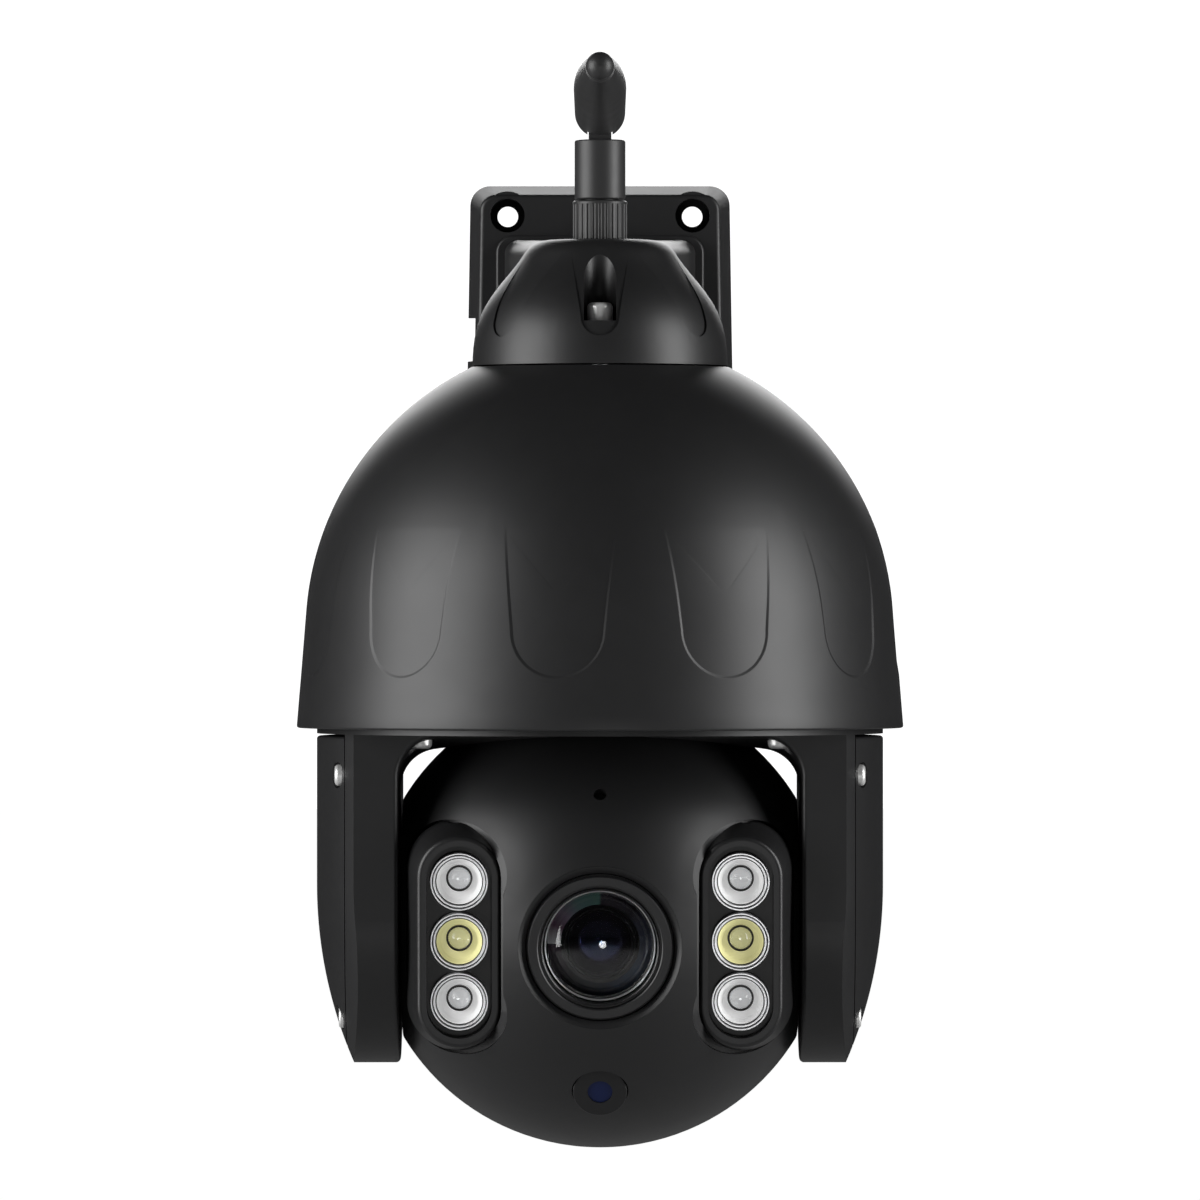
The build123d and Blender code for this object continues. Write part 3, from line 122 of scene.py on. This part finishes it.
class Surface:
    """One procedural material around a Principled shader, with its own small node graph."""

    def __init__(self, name, colour, roughness, **sockets):
        self.material = bpy.data.materials.new(name)
        self.material.use_nodes = True
        self.tree = self.material.node_tree
        self.shader = self.tree.nodes["Principled BSDF"]
        self.set("Base Color", (*colour, 1.0))
        self.set("Roughness", roughness)
        for socket, value in sockets.items():
            self.set(socket.replace("_", " "), value)
        self.colour = colour
        self.roughness = roughness
        self.place = self.node("ShaderNodeTexCoord").outputs["Object"]

    def set(self, socket, value):
        self.shader.inputs[socket].default_value = value

    def node(self, kind, **settings):
        made = self.tree.nodes.new(kind)
        for key, value in settings.items():
            if hasattr(made, key):
                setattr(made, key, value)
            else:
                made.inputs[key.replace("_", " ")].default_value = value
        return made

    def link(self, source, target):
        self.tree.links.new(source, target)

    def noise(self, size, detail=3.0, stretch=(1, 1, 1)):
        """Noise whose features are about size metres wide."""
        mapping = self.node("ShaderNodeMapping")
        mapping.inputs["Scale"].default_value = stretch
        self.link(self.place, mapping.inputs["Vector"])
        noise = self.node("ShaderNodeTexNoise", Scale=1.0 / size, Detail=detail)
        self.link(mapping.outputs["Vector"], noise.inputs["Vector"])
        return noise.outputs["Fac"]

    def vary_roughness(self, source, spread):
        """Roughness swings by spread to each side of its value."""
        span = self.node("ShaderNodeMapRange")
        span.inputs["To Min"].default_value = max(0.0, self.roughness - spread)
        span.inputs["To Max"].default_value = min(1.0, self.roughness + spread)
        self.link(source, span.inputs["Value"])
        self.link(span.outputs["Result"], self.shader.inputs["Roughness"])

    def vary_colour(self, source, low, high):
        """The colour runs from low to high times its value."""
        mix = self.node("ShaderNodeMix", data_type="RGBA")
        mix.inputs[6].default_value = (*[c * low for c in self.colour], 1.0)
        mix.inputs[7].default_value = (*[c * high for c in self.colour], 1.0)
        self.link(source, mix.inputs[0])
        self.link(mix.outputs[2], self.shader.inputs["Base Color"])

    def bump(self, source, depth, strength=1.0):
        """Relief depth metres deep; a second call adds to the first."""
        bump = self.node("ShaderNodeBump", Strength=strength, Distance=depth)
        self.link(source, bump.inputs["Height"])
        normal = self.shader.inputs["Normal"]
        if normal.is_linked:
            self.link(normal.links[0].from_socket, bump.inputs["Normal"])
        self.link(bump.outputs["Normal"], normal)


def powder_coat():
    """Satin charcoal powder coat on castings, with its slight orange peel."""
    coat = Surface("powder_coat", (0.012, 0.012, 0.0125), 0.44)
    coat.vary_roughness(coat.noise(9 * MM), 0.02)
    coat.vary_colour(coat.noise(4 * MM), 0.9, 1.1)
    coat.bump(coat.noise(1.1 * MM, detail=2.0), 0.006 * MM)
    coat.bump(coat.noise(0.25 * MM, detail=1.0), 0.002 * MM)
    return coat.material


def satin_plastic():
    """Charcoal plastic of the ball, moulded against a finely eroded tool."""
    plastic = Surface("satin_moulding", (0.011, 0.011, 0.0115), 0.40)
    plastic.vary_roughness(plastic.noise(7 * MM), 0.02)
    plastic.bump(plastic.noise(0.35 * MM, detail=2.0), 0.003 * MM)
    return plastic.material


def antenna_plastic():
    """Slightly soft, slightly lighter plastic of the antenna."""
    plastic = Surface("antenna_moulding", (0.024, 0.024, 0.0245), 0.46)
    plastic.vary_roughness(plastic.noise(5 * MM), 0.03)
    plastic.bump(plastic.noise(0.4 * MM, detail=2.0), 0.004 * MM)
    return plastic.material


def black_plastic():
    """Matt black engineering plastic of inner parts and the lens surround."""
    plastic = Surface("black_moulding", (0.006, 0.006, 0.0065), 0.42)
    plastic.vary_roughness(plastic.noise(4 * MM), 0.04)
    plastic.bump(plastic.noise(0.3 * MM), 0.002 * MM)
    return plastic.material


def rubber():
    seal = Surface("seal_rubber", (0.012, 0.012, 0.012), 0.7)
    seal.vary_roughness(seal.noise(3 * MM), 0.06)
    seal.bump(seal.noise(0.4 * MM), 0.01 * MM)
    return seal.material


def bright_steel():
    """Stainless screws, turned and lightly tumbled."""
    steel = Surface("stainless", (0.85, 0.85, 0.84), 0.4, Metallic=0.6)
    steel.vary_roughness(steel.noise(0.8 * MM), 0.06)
    steel.bump(steel.noise(0.5 * MM, stretch=(1, 1, 6)), 0.003 * MM)
    return steel.material


def bearing_steel():
    steel = Surface("ground_steel", (0.62, 0.62, 0.63), 0.12, Metallic=1.0)
    steel.vary_roughness(steel.noise(1.5 * MM), 0.03)
    steel.bump(steel.noise(0.2 * MM), 0.0005 * MM)
    return steel.material


def motor_steel():
    steel = Surface("zinc_plate", (0.50, 0.50, 0.52), 0.33, Metallic=1.0)
    steel.vary_roughness(steel.noise(2.5 * MM), 0.08)
    steel.vary_colour(steel.noise(6 * MM), 0.85, 1.1)
    steel.bump(steel.noise(0.3 * MM), 0.002 * MM)
    return steel.material


def cast_aluminium():
    metal = Surface("cast_aluminium", (0.55, 0.55, 0.56), 0.45, Metallic=1.0)
    metal.vary_roughness(metal.noise(3 * MM), 0.08)
    metal.bump(metal.noise(0.7 * MM), 0.02 * MM)
    return metal.material


def brass():
    metal = Surface("plated_brass", (0.78, 0.57, 0.22), 0.2, Metallic=1.0)
    metal.vary_roughness(metal.noise(1.0 * MM), 0.05)
    metal.bump(metal.noise(0.3 * MM), 0.001 * MM)
    return metal.material


def circuit_board():
    """Green solder mask with copper tracks showing as paler lines."""
    board = Surface("solder_mask", (0.01, 0.09, 0.035), 0.28)
    tracks = board.node("ShaderNodeTexBrick", Scale=260.0, Mortar_Size=0.012)
    board.link(board.place, tracks.inputs["Vector"])
    board.vary_colour(tracks.outputs["Fac"], 1.0, 2.1)
    board.bump(tracks.outputs["Fac"], 0.03 * MM)
    board.vary_roughness(board.noise(2 * MM), 0.05)
    return board.material


def clear_lens(name, colour):
    """Clear moulded lamp lens, with faint flow lines."""
    lens = Surface(name, colour, 0.03, IOR=1.49, Transmission_Weight=1.0)
    lens.vary_roughness(lens.noise(2 * MM), 0.02)
    lens.bump(lens.noise(1.2 * MM), 0.002 * MM)
    return lens.material


def lamp_insert(name, colour):
    """Glossy pale moulding round a lamp's emitter, with a faint painted glow: it emits light of its own colour
    though it is no lit lamp.
    """
    # The emission is a painted glow that brightens the insert.
    insert = Surface(
        name, colour, 0.22, Coat_Weight=0.5, Emission_Color=(*colour, 1.0), Emission_Strength=0.3,
    )
    insert.vary_roughness(insert.noise(1.5 * MM), 0.05)
    insert.vary_colour(insert.noise(2.5 * MM), 0.94, 1.0)
    insert.bump(insert.noise(0.5 * MM), 0.002 * MM)
    return insert.material


def reflector():
    """Vapour-coated mirror of the lamp cups."""
    mirror = Surface("mirror_coat", (0.80, 0.80, 0.81), 0.3, Metallic=0.75)
    mirror.vary_roughness(mirror.noise(1.5 * MM), 0.05)
    mirror.bump(mirror.noise(1.0 * MM), 0.004 * MM)
    return mirror.material


def coated_glass():
    """Lens glass, very smooth, with a hardly visible ripple in its polish."""
    glass = Surface("coated_glass", (0.96, 0.97, 0.99), 0.03, IOR=1.52, Transmission_Weight=1.0)
    glass.vary_roughness(glass.noise(5 * MM), 0.01)
    return glass.material


def lens_black():
    """Dead black of the lens cell."""
    black = Surface("lens_black", (0.002, 0.002, 0.0022), 0.5, Specular_IOR_Level=0.2)
    black.vary_roughness(black.noise(2 * MM), 0.05)
    black.bump(black.noise(0.3 * MM), 0.003 * MM)
    return black.material


def dark_glass():
    """Deep coated glass of the inner elements, which reflects a violet tint."""
    glass = Surface(
        "dark_glass", (0.006, 0.003, 0.008), 0.08, IOR=1.7, Coat_Weight=1.0,
        Thin_Film_Thickness=330.0, Thin_Film_IOR=1.38,
    )
    glass.vary_roughness(glass.noise(3 * MM), 0.02)
    return glass.material


def lens_painted_reflections():
    """Coated ring of the inner element with painted reflections of the soft boxes: its colour changes in
    patches round the axis.
    """
    coat = Surface("lens_painted_reflections", (0.05, 0.05, 0.06), 0.22, Coat_Weight=0.4)
    offset = coat.node("ShaderNodeVectorMath", operation="SUBTRACT")
    offset.inputs[1].default_value = BALL_PLACE @ Vector((0, COATING_Y * MM, 0))
    coat.link(coat.place, offset.inputs[0])
    parts = coat.node("ShaderNodeSeparateXYZ")
    coat.link(offset.outputs[0], parts.inputs[0])
    angle = coat.node("ShaderNodeMath", operation="ARCTAN2")
    coat.link(parts.outputs["Z"], angle.inputs[0])
    coat.link(parts.outputs["X"], angle.inputs[1])
    share = coat.node("ShaderNodeMapRange")
    share.inputs["From Min"].default_value = -pi
    share.inputs["From Max"].default_value = pi
    coat.link(angle.outputs[0], share.inputs["Value"])
    # The ramp's colours are painted reflections of the soft boxes, tinted as the coating tints them, put into
    # the base colour.
    ramp = coat.node("ShaderNodeValToRGB")
    for place, tint in COATING_PAINTED_REFLECTIONS:
        stop = ramp.color_ramp.elements.new(place)
        stop.color = (*tint, 1.0)
    coat.link(share.outputs["Result"], ramp.inputs["Fac"])
    coat.link(ramp.outputs["Color"], coat.shader.inputs["Base Color"])
    coat.vary_roughness(coat.noise(2 * MM), 0.05)
    return coat.material


def blue_filter():
    dye = Surface("blue_filter", (0.006, 0.012, 0.055), 0.4, Specular_IOR_Level=0.25)
    dye.vary_roughness(dye.noise(1.5 * MM), 0.04)
    dye.bump(dye.noise(0.4 * MM), 0.001 * MM)
    return dye.material


FINISHES = {
    "painted_casting": powder_coat(),
    "satin_plastic": satin_plastic(),
    "black_plastic": black_plastic(),
    "antenna_plastic": antenna_plastic(),
    "rubber_seal": rubber(),
    "bright_steel": bright_steel(),
    "bearing_steel": bearing_steel(),
    "motor_steel": motor_steel(),
    "cast_aluminium": cast_aluminium(),
    "brass_jack": brass(),
    "circuit_board": circuit_board(),
    "clear_lens": clear_lens("clear_lens_moulding", (0.97, 0.98, 0.99)),
    "warm_lens": clear_lens("warm_lens_moulding", (0.98, 0.95, 0.45)),
    "reflector": reflector(),
    "coated_glass": coated_glass(),
    "blue_filter": blue_filter(),
}


# Finishes of pieces that have no material slot of their own in the record.
EXTRA_FINISHES = {
    "lens_painted_reflections": lens_painted_reflections(),
    "lens_black": lens_black(),
    "dark_glass": dark_glass(),
    "lamp_insert_white": lamp_insert("lamp_insert_white", (0.93, 0.93, 0.93)),
    "lamp_insert_warm": lamp_insert("lamp_insert_warm", (0.94, 0.90, 0.45)),
}


# ------------------------------------------------------------------- pieces

def finish_piece(name, shape, finish, body, replaced, sharp=SHARP_EDGE):
    """The bmesh as a finished piece that rides on a body and stands for the replaced nodes."""
    bmesh.ops.recalc_face_normals(shape, faces=shape.faces)
    mesh = bpy.data.meshes.new(name)
    shape.to_mesh(mesh)
    shape.free()
    for face in mesh.polygons:
        face.use_smooth = True
    mesh.set_sharp_from_angle(angle=sharp)
    mesh.materials.append(finish)
    piece = bpy.data.objects.new(name, mesh)
    bpy.context.scene.collection.objects.link(piece)
    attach(piece, body)
    if replaced:
        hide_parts(*replaced)


def bridge(shape, low, high, closed=True):
    """Faces between two rows of points; either row may be a single point."""
    count = max(len(low), len(high))
    for i in range(count if closed else count - 1):
        j = (i + 1) % count
        corners = [low[i % len(low)], low[j % len(low)], high[j % len(high)], high[i % len(high)]]
        shape.faces.new(list(dict.fromkeys(corners)))


def turned(profiles, centres=((0.0, 0.0),), steps=LAMP_STEPS):
    """Shapes turned about the lens direction round each centre (x, z); a profile lists (radius, y) in mm."""
    shape = bmesh.new()
    angles = [2 * pi * i / steps for i in range(steps)]
    for (x, z), profile in product(centres, profiles):
        rows = []
        for r, y in profile:
            around = angles if r > 0 else [0.0]
            rows.append([shape.verts.new((x + r * cos(a), y, z + r * sin(a))) for a in around])
        for low, high in zip(rows, rows[1:]):
            bridge(shape, low, high)
    shape.transform(BALL_PLACE @ Matrix.Scale(MM, 4))
    return shape


def bulge(y, r, curve, steps=10):
    """Profile of a convex face from its middle at y out to radius r."""
    radii = [r * i / steps for i in range(steps + 1)]
    return [(radius, y + curve - sqrt(curve ** 2 - radius ** 2)) for radius in radii]


def lens_piece(name, profile, finish, replaced, steps=LENS_STEPS):
    finish_piece(name, turned([profile], steps=steps), finish, "ball", replaced)


def lens_pieces():
    """Lens surround with its grooves, front glass, and the coated element in its dark cell."""
    trim = [(20.6, -54.7), (20.5, -54.95), (18.75, -53.95), (18.6, -52.5)]
    lens_piece("lens_trim", trim, FINISHES["satin_plastic"], [], LAMP_STEPS)
    surround = [
        (18.45, -46.0), (18.45, -53.4), (18.1, -53.5), (18.0, -55.1), (17.8, -55.4), (15.8, -55.4),
        (15.55, -55.2), (15.45, -53.4), (15.0, -53.4), (14.9, -54.6), (14.7, -54.7), (14.4, -54.4),
        (14.35, -47.0),
    ]
    lens_piece("lens_surround", surround, FINISHES["black_plastic"], ["lens_bezel"])
    glass = bulge(-54.9, 14.3, 24.0) + bulge(-52.2, 14.2, 22.0)[::-1]
    panes = ["window_glass", "front_element"]
    lens_piece("front_glass", glass, FINISHES["coated_glass"], panes)
    cell = [
        (14.4, -48.5), (13.0, -48.4), (12.8, -47.2), (12.75, -44.0), (8.9, -44.0), (8.85, -47.7),
        (8.6, -47.8), (8.3, -47.5), (8.0, -47.6), (7.8, -47.2), (7.65, -43.2),
    ]
    lens_piece("lens_cell", cell, EXTRA_FINISHES["lens_black"], ["lens_barrel", "lens_baffle"])
    # The coated ring, whose colour is a painted reflection of the soft boxes.
    coating = [(r, y) for r, y in bulge(-48.6, COATING_OUT_R, 28.0, 16) if r > COATING_IN_R]
    lens_piece("lens_coating_ring", coating, EXTRA_FINISHES["lens_painted_reflections"], [])
    inner = bulge(-47.4, 7.6, 11.0) + [(7.6, -43.4), (0.0, -43.4)]
    lens_piece("inner_element", inner, EXTRA_FINISHES["dark_glass"], [], LAMP_STEPS)
    edge = [(14.05, -50.6), (14.0, -51.3), (13.85, -51.5), (13.6, -51.2), (13.55, -50.7)]
    lens_piece("lens_edge", edge, FINISHES["reflector"], [])


def lamp_places(rows):
    """Middle (x, z) in mm of each lamp in these rows, seen along the lens axis."""
    low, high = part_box("led_lenses_warm")
    reach = (high.x - low.x) / 2 / MM - LAMP_LENS_R
    return [(side * reach, LAMP_PITCH * row) for side in (-1, 1) for row in rows]


def lamp_pieces():
    """Cup rings, black rings painted as the shade down in the gaps, pale insert, collar and clear dome of every
    lamp.
    """
    outer, middle = lamp_places((-1, 1)), lamp_places((0,))
    lamps = outer + middle
    cup = [(7.3, -41.6), (7.3, -44.5), (7.2, -44.7), (6.95, -44.7), (6.85, -44.5), (6.85, -43.3)]
    lip = [(6.6, -43.3), (6.58, -44.2), (6.45, -44.35), (6.15, -44.35), (6.02, -44.2), (6.0, -43.2)]
    rings = turned([cup, lip], lamps)
    finish_piece("lamp_rings", rings, FINISHES["reflector"], "ball", ["led_cups"])
    # Black rings at the bottom of the narrow gaps beside each lip: painted shade standing for the shade down in
    # the gaps.
    gaps = turned([[(6.9, -43.4), (6.55, -43.4)], [(6.05, -43.3), (5.7, -43.3)]], lamps)
    finish_piece("lamp_gap_painted_shade", gaps, FINISHES["black_plastic"], "ball", [])
    collar = [(3.35, -42.0), (3.3, -42.9), (3.1, -43.1), (2.85, -42.9), (2.8, -42.0)]
    collars = turned([collar], raised(lamps))
    finish_piece("lamp_collars", collars, FINISHES["satin_plastic"], "ball", [])
    insert = [(5.75, -43.5), (5.5, -43.4), (5.2, -42.8), (4.6, -42.2), (3.5, -41.95), (0.0, -41.9)]
    dome = bulge(-44.2, 2.7, 2.9) + [(2.75, -42.6), (2.75, -42.0), (0.0, -42.0)]
    for name, slot, places in (("white", "clear_lens", outer), ("warm", "warm_lens", middle)):
        finish = EXTRA_FINISHES[f"lamp_insert_{name}"]
        finish_piece(f"lamp_inserts_{name}", turned([insert], places), finish, "ball", [])
        domes = turned([dome], raised(places))
        finish_piece(f"lamp_domes_{name}", domes, FINISHES["clear_lens"], "ball", [f"led_lenses_{name}"])


def raised(places):
    """Middles of the lamps' domes, which sit a little above the middles of their cups."""
    return [(x, z + LAMP_DOME_LIFT) for x, z in places]


def pill_row(half_w, half_h, steps=24):
    """Points (x, z) round an upright pill."""
    points = []
    for end, start in ((1, 0.0), (-1, pi)):
        for i in range(steps + 1):
            a = start + pi * i / steps
            points.append((half_w * cos(a), end * (half_h - half_w) + half_w * sin(a)))
    return points


def pod_collars():
    """Sloped ledge in the gap round each lamp housing, following the ball."""
    shape = bmesh.new()
    for side in (-1, 1):
        rows = []
        for shift, half_w, half_h, inset in COLLAR_ROWS:
            row = []
            for x, z in pill_row(half_w, half_h):
                across = side * (shift + x)
                row.append(shape.verts.new((across, -sqrt((BALL_R - inset) ** 2 - across ** 2 - z ** 2), z)))
            rows.append(row)
        bridge(shape, *rows)
    shape.transform(BALL_PLACE @ Matrix.Scale(MM, 4))
    finish_piece("pod_collars", shape, FINISHES["satin_plastic"], "ball", [])


def dome_radius(z):
    """Outer radius of the dome at a height above its rim, in mm."""
    if z <= CONE_TOP:
        return DOME_R - tan(CONE_LEAN) * z
    return ARC_MIDDLE[0] + sqrt(ARC_R ** 2 - (z - ARC_MIDDLE[1]) ** 2)


def dome_point(turn, z, inset=0.0):
    r = dome_radius(z) - inset
    return (r * sin(turn), -r * cos(turn), z)


def petal_depth(z):
    """Depth of a petal, thinning out towards its top."""
    return PETAL_DEPTH * min(1.0, max(0.0, (PETAL_TOP - z) / PETAL_FADE)) ** 0.8


def petal_outline():
    """Outline of one petal as (turn, z), from its top middle round by the left and back."""
    flat = [(-PETAL_TOP_W * i / 10, PETAL_TOP) for i in range(10)]
    for i in range(30):
        share = i / 30
        half_w = PETAL_TOP_W + (PETAL_LOW_W - PETAL_TOP_W) * share
        flat.append((-half_w, PETAL_TOP + (PETAL_ARC - PETAL_TOP) * share))
    for i in range(25):
        a = pi + pi / 2 * i / 24
        flat.append((PETAL_LOW_W * cos(a), PETAL_ARC + PETAL_LOW_W * sin(a)))
    flat += [(-x, z) for x, z in reversed(flat[1:-1])]
    return [(asin(x / dome_radius(z)), z) for x, z in flat]


def shifted(outline, amount):
    """The outline moved inwards by amount mm."""
    moved = []
    for i, (turn, z) in enumerate(outline):
        before, after = outline[i - 1], outline[(i + 1) % len(outline)]
        along = Vector(((after[0] - before[0]) * DOME_R, after[1] - before[1])).normalized()
        moved.append((turn - along.y * amount / DOME_R, z + along.x * amount))
    return moved


def frame_point(turn, z):
    """Where the ray from the petal's middle through a point meets the edge of its sector."""
    dx, dz = turn, z - PETAL_MIDDLE
    reach = [SECTOR_HALF / abs(dx)] if dx else []
    if dz:
        reach.append(((SECTOR_HIGH if dz > 0 else SECTOR_LOW) - PETAL_MIDDLE) / dz)
    share = min(reach)
    return (dx * share, PETAL_MIDDLE + dz * share)


def between(a, b, share):
    return [(p[0] + (q[0] - p[0]) * share, p[1] + (q[1] - p[1]) * share) for p, q in zip(a, b)]


def sector_edge(outline):
    """Edge of the sector, one point for each of the outline's, with one exactly in each corner."""
    edge = [frame_point(*p) for p in outline]
    for turn, z in product((-SECTOR_HALF, SECTOR_HALF), (SECTOR_LOW, SECTOR_HIGH)):
        gaps = [((p[0] - turn) * DOME_R) ** 2 + (p[1] - z) ** 2 for p in edge]
        edge[gaps.index(min(gaps))] = (turn, z)
    return edge


def sector_rows():
    """Rows of (turn, z, inset) over one sector of the dome, from the petal's middle outwards."""
    edge = petal_outline()
    foot = shifted(edge, PETAL_STEP)
    middle = [(0.0, PETAL_MIDDLE)] * len(edge)
    sunken = [between(middle, foot, share) for share in PETAL_SHARES]
    sunken += [shifted(edge, PETAL_STEP * 1.5), foot]
    level = [edge, shifted(edge, -0.25)]
    level += [between(edge, sector_edge(edge), share) for share in OUTER_SHARES]
    rows = [[(turn, z, petal_depth(z)) for turn, z in row] for row in sunken]
    return rows + [[(turn, z, 0.0) for turn, z in row] for row in level]


def extend_rows(shape, middle, border, profile):
    """Rows of faces from a border of (turn, point) along a profile of (height, inset)."""
    turns = [turn for turn, _ in border]
    last = [point for _, point in border]
    for z, inset in profile:
        fresh = [shape.verts.new(dome_point(middle + turn, z, inset)) for turn in turns]
        bridge(shape, last, fresh, closed=False)
        last = fresh


def dome_skin():
    """Dome with shallow sloped steps round its petals, and a rounded rim."""
    shape = bmesh.new()
    rows = sector_rows()
    rise = (DOME_HIGH - SECTOR_HIGH) / CROWN_ROWS
    crown = [(SECTOR_HIGH + rise * i, 0.0) for i in range(1, CROWN_ROWS + 1)]
    for i in range(PETALS):
        middle = radians(PETAL_PHASE) + 2 * pi * i / PETALS
        made = [[shape.verts.new(dome_point(middle + t, z, d)) for t, z, d in row] for row in rows]
        heart = shape.verts.new(dome_point(middle, PETAL_MIDDLE, petal_depth(PETAL_MIDDLE)))
        bridge(shape, [heart], made[0])
        for low, high in zip(made, made[1:]):
            bridge(shape, low, high)
        for level, profile in ((SECTOR_HIGH, crown), (SECTOR_LOW, RIM_PROFILE)):
            border = [(p[0], v) for p, v in zip(rows[-1], made[-1]) if abs(p[1] - level) < SAME_HEIGHT]
            extend_rows(shape, middle, sorted(border, key=lambda pair: pair[0]), profile)
    bmesh.ops.remove_doubles(shape, verts=shape.verts, dist=WELD)
    low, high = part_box("dome_shell")
    foot = Vector(((low.x + high.x) / 2, (low.y + high.y) / 2, low.z))
    shape.transform(Matrix.Translation(foot) @ Matrix.Scale(MM, 4))
    finish_piece("dome_skin", shape, FINISHES["painted_casting"], "bracket", ["dome_shell"],
                 DOME_SHARP_EDGE)


def finish_cad_nodes():
    """Every CAD node takes the finish of its own material slot."""
    for node in NODES.values():
        for place in node.material_slots:
            place.material = FINISHES[place.material.name]


# ------------------------------------------------------------------- studio

def soft_box(name, azimuth, elevation, distance, size, power, target, shape="RECTANGLE"):
    """A soft box of this width and height that faces target; azimuth 0 is the camera's side, + to its right."""
    lamp = bpy.data.lights.new(name, "AREA")
    lamp.shape = shape
    lamp.size, lamp.size_y = size
    lamp.energy = power
    box = bpy.data.objects.new(name, lamp)
    bpy.context.scene.collection.objects.link(box)
    away = Vector((0, -distance, 0))
    away.rotate(Euler((-radians(elevation), 0, radians(azimuth))))
    box.location = target + away
    box.rotation_euler = (-away).to_track_quat("-Z", "Y").to_euler()


def room():
    """Dim room round the object, white where the camera sees it."""
    world = bpy.data.worlds.new("studio")
    bpy.context.scene.world = world
    world.use_nodes = True
    tree = world.node_tree
    glow = tree.nodes["Background"]
    path = tree.nodes.new("ShaderNodeLightPath")
    span = tree.nodes.new("ShaderNodeMapRange")
    span.inputs["To Min"].default_value = ROOM_GREY
    span.inputs["To Max"].default_value = BACKGROUND
    tree.links.new(path.outputs["Is Camera Ray"], span.inputs["Value"])
    tree.links.new(span.outputs["Result"], glow.inputs["Strength"])
    glow.inputs["Color"].default_value = (1, 1, 1, 1)


def studio_floor(height):
    mesh = bpy.data.meshes.new("floor")
    half = FLOOR_SIZE / 2
    corners = [(-half, -half), (half, -half), (half, half), (-half, half)]
    mesh.from_pydata([(x, y, height) for x, y in corners], [], [(0, 1, 2, 3)])
    mesh.materials.append(floor_paper())
    floor = bpy.data.objects.new("floor", mesh)
    bpy.context.scene.collection.objects.link(floor)


def studio(middle, low):
    soft_box("key_left", -69, 8, 1.1, (0.85, 1.0), 16, middle)
    soft_box("key_right", 70, 8, 1.1, (0.5, 1.0), 13, middle)
    soft_box("rim_light", 180, 22, 1.3, (1.0, 0.5), 7, middle)
    soft_box("catch_light", 3, -14, 1.4, (0.2, 0.2), 0.8, middle, "ELLIPSE")
    room()
    studio_floor(low - FLOOR_DROP)
    bpy.context.scene.view_settings.view_transform = "Standard"


def floor_paper():
    """White studio paper, bright to the camera and dim to the object."""
    paper = Surface("floor_paper", (0.3, 0.3, 0.3), 0.9)
    paper.bump(paper.noise(3 * MM), 0.05 * MM)
    path = paper.node("ShaderNodeLightPath")
    paper.set("Emission Color", (1, 1, 1, 1))
    paper.link(path.outputs["Is Camera Ray"], paper.shader.inputs["Emission Strength"])
    return paper.material


def camera(middle):
    lens = bpy.data.cameras.new("camera")
    lens.lens = CAMERA_LENS
    lens.sensor_width = SENSOR
    lens.shift_y = LENS_SHIFT
    view = bpy.data.objects.new("camera", lens)
    bpy.context.scene.collection.objects.link(view)
    pan_axis_y = (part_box("dome_shell")[0].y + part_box("dome_shell")[1].y) / 2
    view.location = (0, pan_axis_y - CAMERA_DISTANCE, middle.z + EYE_ABOVE_MIDDLE)
    view.rotation_euler = (pi / 2, 0, 0)
    bpy.context.scene.camera = view


# --------------------------------------------------------------------- make

low_corner, high_corner = cad_box
centre = (Vector(low_corner) + Vector(high_corner)) / 2
finish_cad_nodes()
lens_pieces()
lamp_pieces()
pod_collars()
dome_skin()
camera(centre)
studio(centre, low_corner[2])
